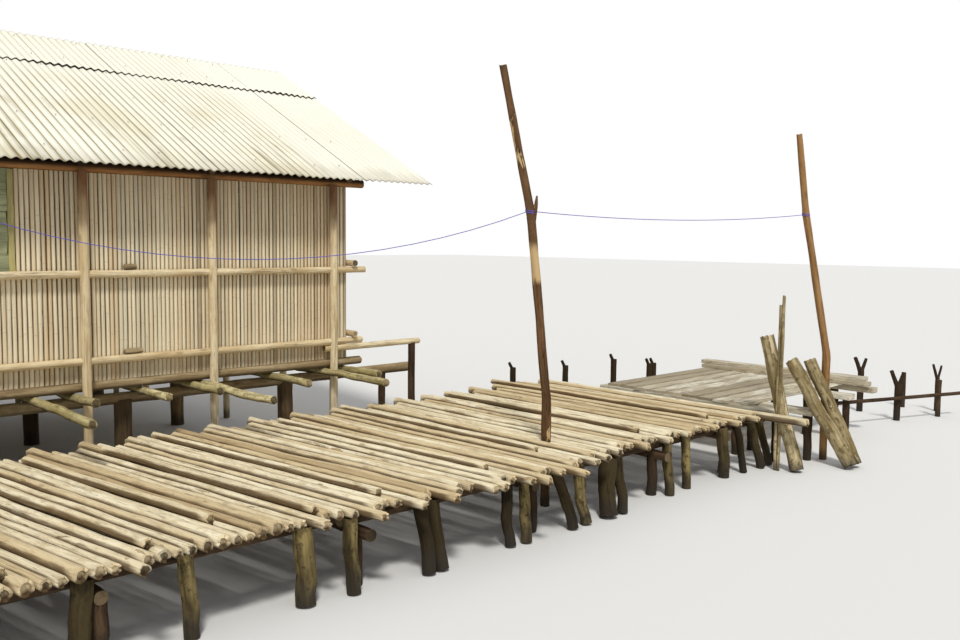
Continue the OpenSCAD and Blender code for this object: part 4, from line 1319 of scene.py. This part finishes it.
@dataclass
class LinePoles:
    """The two tall poles and the washing line."""

    yard: Woodyard
    line: float = 0.006
    near_level: float = 2.40
    far_level: float = 2.45
    turns: float = 3.5
    near_points: int = 20
    far_points: int = 18

    def build(self) -> None:
        """Replaces the tall poles and the line, the line first."""
        self.twine = PlainFinish("blue_twine", (0.10, 0.08, 0.45), (0.20, 0.18, 0.60), 0.6, 300.0).make()
        self.string()
        kind = Timber(sides=16, spacing=0.06, bow=0.03, bark=0.16, swell=0.25, fray=0.02, rim=0.8)
        self.yard.lay("near_line_pole", kind, Wood.LINE_POLE, "dark_log")
        self.yard.lay("far_line_pole", replace(kind, seed=41), Wood.FAR_POLE, "dark_log")
        middle, radius = self.ring("near_line_pole_timber", self.near_level)
        self.tie("near_line_tie", middle, radius)
        self.tie("far_line_tie", *self.ring("far_line_pole_timber", self.far_level))
        aside = np.array((0.72, -0.69, 0.0)) * radius
        line = [middle + aside * out + (0, 0, up) for out, up in ((0.7, -0.10), (1.25, 0.05), (1.45, 0.13))]
        snag = Spine(np.array(line), np.array([0.020, 0.017, 0.007]))
        stub = Timber(sides=10, spacing=0.03, bow=0.0, bark=0.2, fray=0.02)
        show(self.yard.poles("near_pole_snag", [snag], stub, Wood.LINE_POLE.made()), "dark_log")

    @staticmethod
    def ring(name: str, level: float) -> tuple[np.ndarray, float]:
        """The middle and the radius of a made pole at a height.

        Args:
            name: the pole's name.
            level: the height in metres.

        Returns:
            The middle point and the radius.
        """
        points = fetch(bpy.data.objects[name].data.vertices, "co", 3)
        near = points[np.abs(points[:, 2] - level) < 0.035]
        low, high = near.min(0), near.max(0)
        middle = (low + high) / 2
        middle[2] = level
        return middle, float((high - low)[:2].max() / 2)

    def tie(self, name: str, middle: np.ndarray, radius: float) -> None:
        """Winds twine round a pole.

        Args:
            name: the piece's name.
            middle: the pole's middle at the tie.
            radius: the pole's radius there.
        """
        turns = np.linspace(0, 2 * math.pi * self.turns, int(self.turns * 14))
        reach = radius + self.line * 0.3
        rise = np.sin(turns * 0.37) * 0.012 + np.sin(turns) * 0.006
        coil = np.stack([np.cos(turns) * reach, np.sin(turns) * reach, rise], 1) + middle
        kind = Timber(sides=6, spacing=0.012, bow=0.0, bark=0.0, swell=0.0, fray=0.0)
        show(self.yard.poles(name, [Spine(coil, np.full(len(coil), self.line * 0.5))], kind, self.twine), "line_cord")

    @staticmethod
    def stretch(cloud: np.ndarray, count: int) -> list[list[float]]:
        """Points down the middle of one stretch of the line.

        Args:
            cloud: corner points of its solid.
            count: how many points.

        Returns:
            The points, from its low X end.
        """
        points = Spine.of(cloud).points
        share, own = np.linspace(0, 1, count), np.linspace(0, 1, len(points))
        return np.stack([np.interp(share, own, part) for part in points.T], 1).tolist()

    def string(self) -> None:
        """Follows the line's two stretches with one curve, past the near pole."""
        near, far = solids("line")
        path = self.stretch(near, self.near_points) + self.stretch(far, self.far_points)
        data = bpy.data.curves.new("washing_line", "CURVE")
        data.dimensions, data.bevel_depth, data.bevel_resolution = "3D", self.line / 2, 2
        spline = data.splines.new("POLY")
        spline.points.add(len(path) - 1)
        for point, at in zip(spline.points, path):
            point.co = (*at, 1.0)
        made = linked("washing_line", data)
        data.materials.append(self.twine)
        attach(made, BODY)
        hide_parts("line")


# ---------------- stage


@dataclass
class Studio:
    """Camera, pale floor and soft light."""

    eye: tuple[float, float, float] = (-1.69, -10.12, 2.17)
    yaw_deg: float = 45.997
    pitch_deg: float = 4.9
    roll_deg: float = 0.6
    focal: float = 35.0
    sensor: float = 36.0
    sight: float = 200.0
    floor_half: float = 90.0
    sky: float = 0.48
    sun: float = 2.0
    sun_width_deg: float = 9.0
    sun_way: tuple[float, float, float] = (0.45, 0.55, -1.0)

    def camera(self) -> None:
        """Sets the camera at the photograph's point of view."""
        lens = bpy.data.cameras.new("camera")
        lens.lens, lens.sensor_width, lens.clip_end = self.focal, self.sensor, self.sight
        place = Matrix.Translation(self.eye)
        for degrees, axis in ((self.yaw_deg - 90.0, "Z"), (90.0 - self.pitch_deg, "X"), (self.roll_deg, "Z")):
            place = place @ Matrix.Rotation(math.radians(degrees), 4, axis)
        made = linked("camera", lens)
        made.matrix_world = place
        bpy.context.scene.camera = made

    def floor(self) -> None:
        """Lays a pale floor at the foot of the stilts."""
        mesh, far = bpy.data.meshes.new("floor_stage"), self.floor_half
        mesh.from_pydata([(-far, -far, 0), (far, -far, 0), (far, far, 0), (-far, far, 0)], [], [(0, 1, 2, 3)])
        mesh.materials.append(Paint("pale_floor", (0.84, 0.84, 0.83)).finish(0.9))
        linked("floor_stage", mesh)

    def light(self) -> None:
        """Hangs one broad soft lamp and an even sky, white to the camera and in reflections."""
        world = bpy.data.worlds.new("sky")
        bpy.context.scene.world = world
        world.use_nodes = True
        g = Graph(world.node_tree)
        g.tree.nodes.clear()
        seen, gloss = (g.node("ShaderNodeLightPath", out=f"Is {ray} Ray") for ray in ("Camera", "Glossy"))
        soft = g.node("ShaderNodeBackground", {"Color": (0.95, 0.97, 1.0), "Strength": self.sky})
        white = g.node("ShaderNodeBackground", {"Color": (1.0, 1.0, 1.0), "Strength": 1.0})
        both = g.node("ShaderNodeMixShader", {0: g.most(seen, gloss), 1: soft, 2: white})
        g.feed(g.tree.nodes.new("ShaderNodeOutputWorld").inputs[0], both)
        sun = bpy.data.lights.new("sun", "SUN")
        sun.energy, sun.angle, sun.color = self.sun, math.radians(self.sun_width_deg), (1.0, 0.97, 0.91)
        linked("sun", sun).rotation_euler = Vector(self.sun_way).to_track_quat("-Z", "Y").to_euler()


def main() -> None:
    """Builds the stage and every sub-assembly in order."""
    logging.basicConfig(level=logging.INFO, format="%(message)s")
    bpy.context.scene.view_settings.view_transform = "Standard"
    studio = Studio()
    studio.camera()
    studio.floor()
    studio.light()
    yard = Woodyard()
    LinePoles(yard).build()
    house = House(yard)
    house.frame_timber()
    house.canes()
    house.window()
    Roof().build()
    Deck(yard).build()
    Landing(yard).build()
    bpy.context.view_layer.update()


if __name__ == "__main__":
    main()
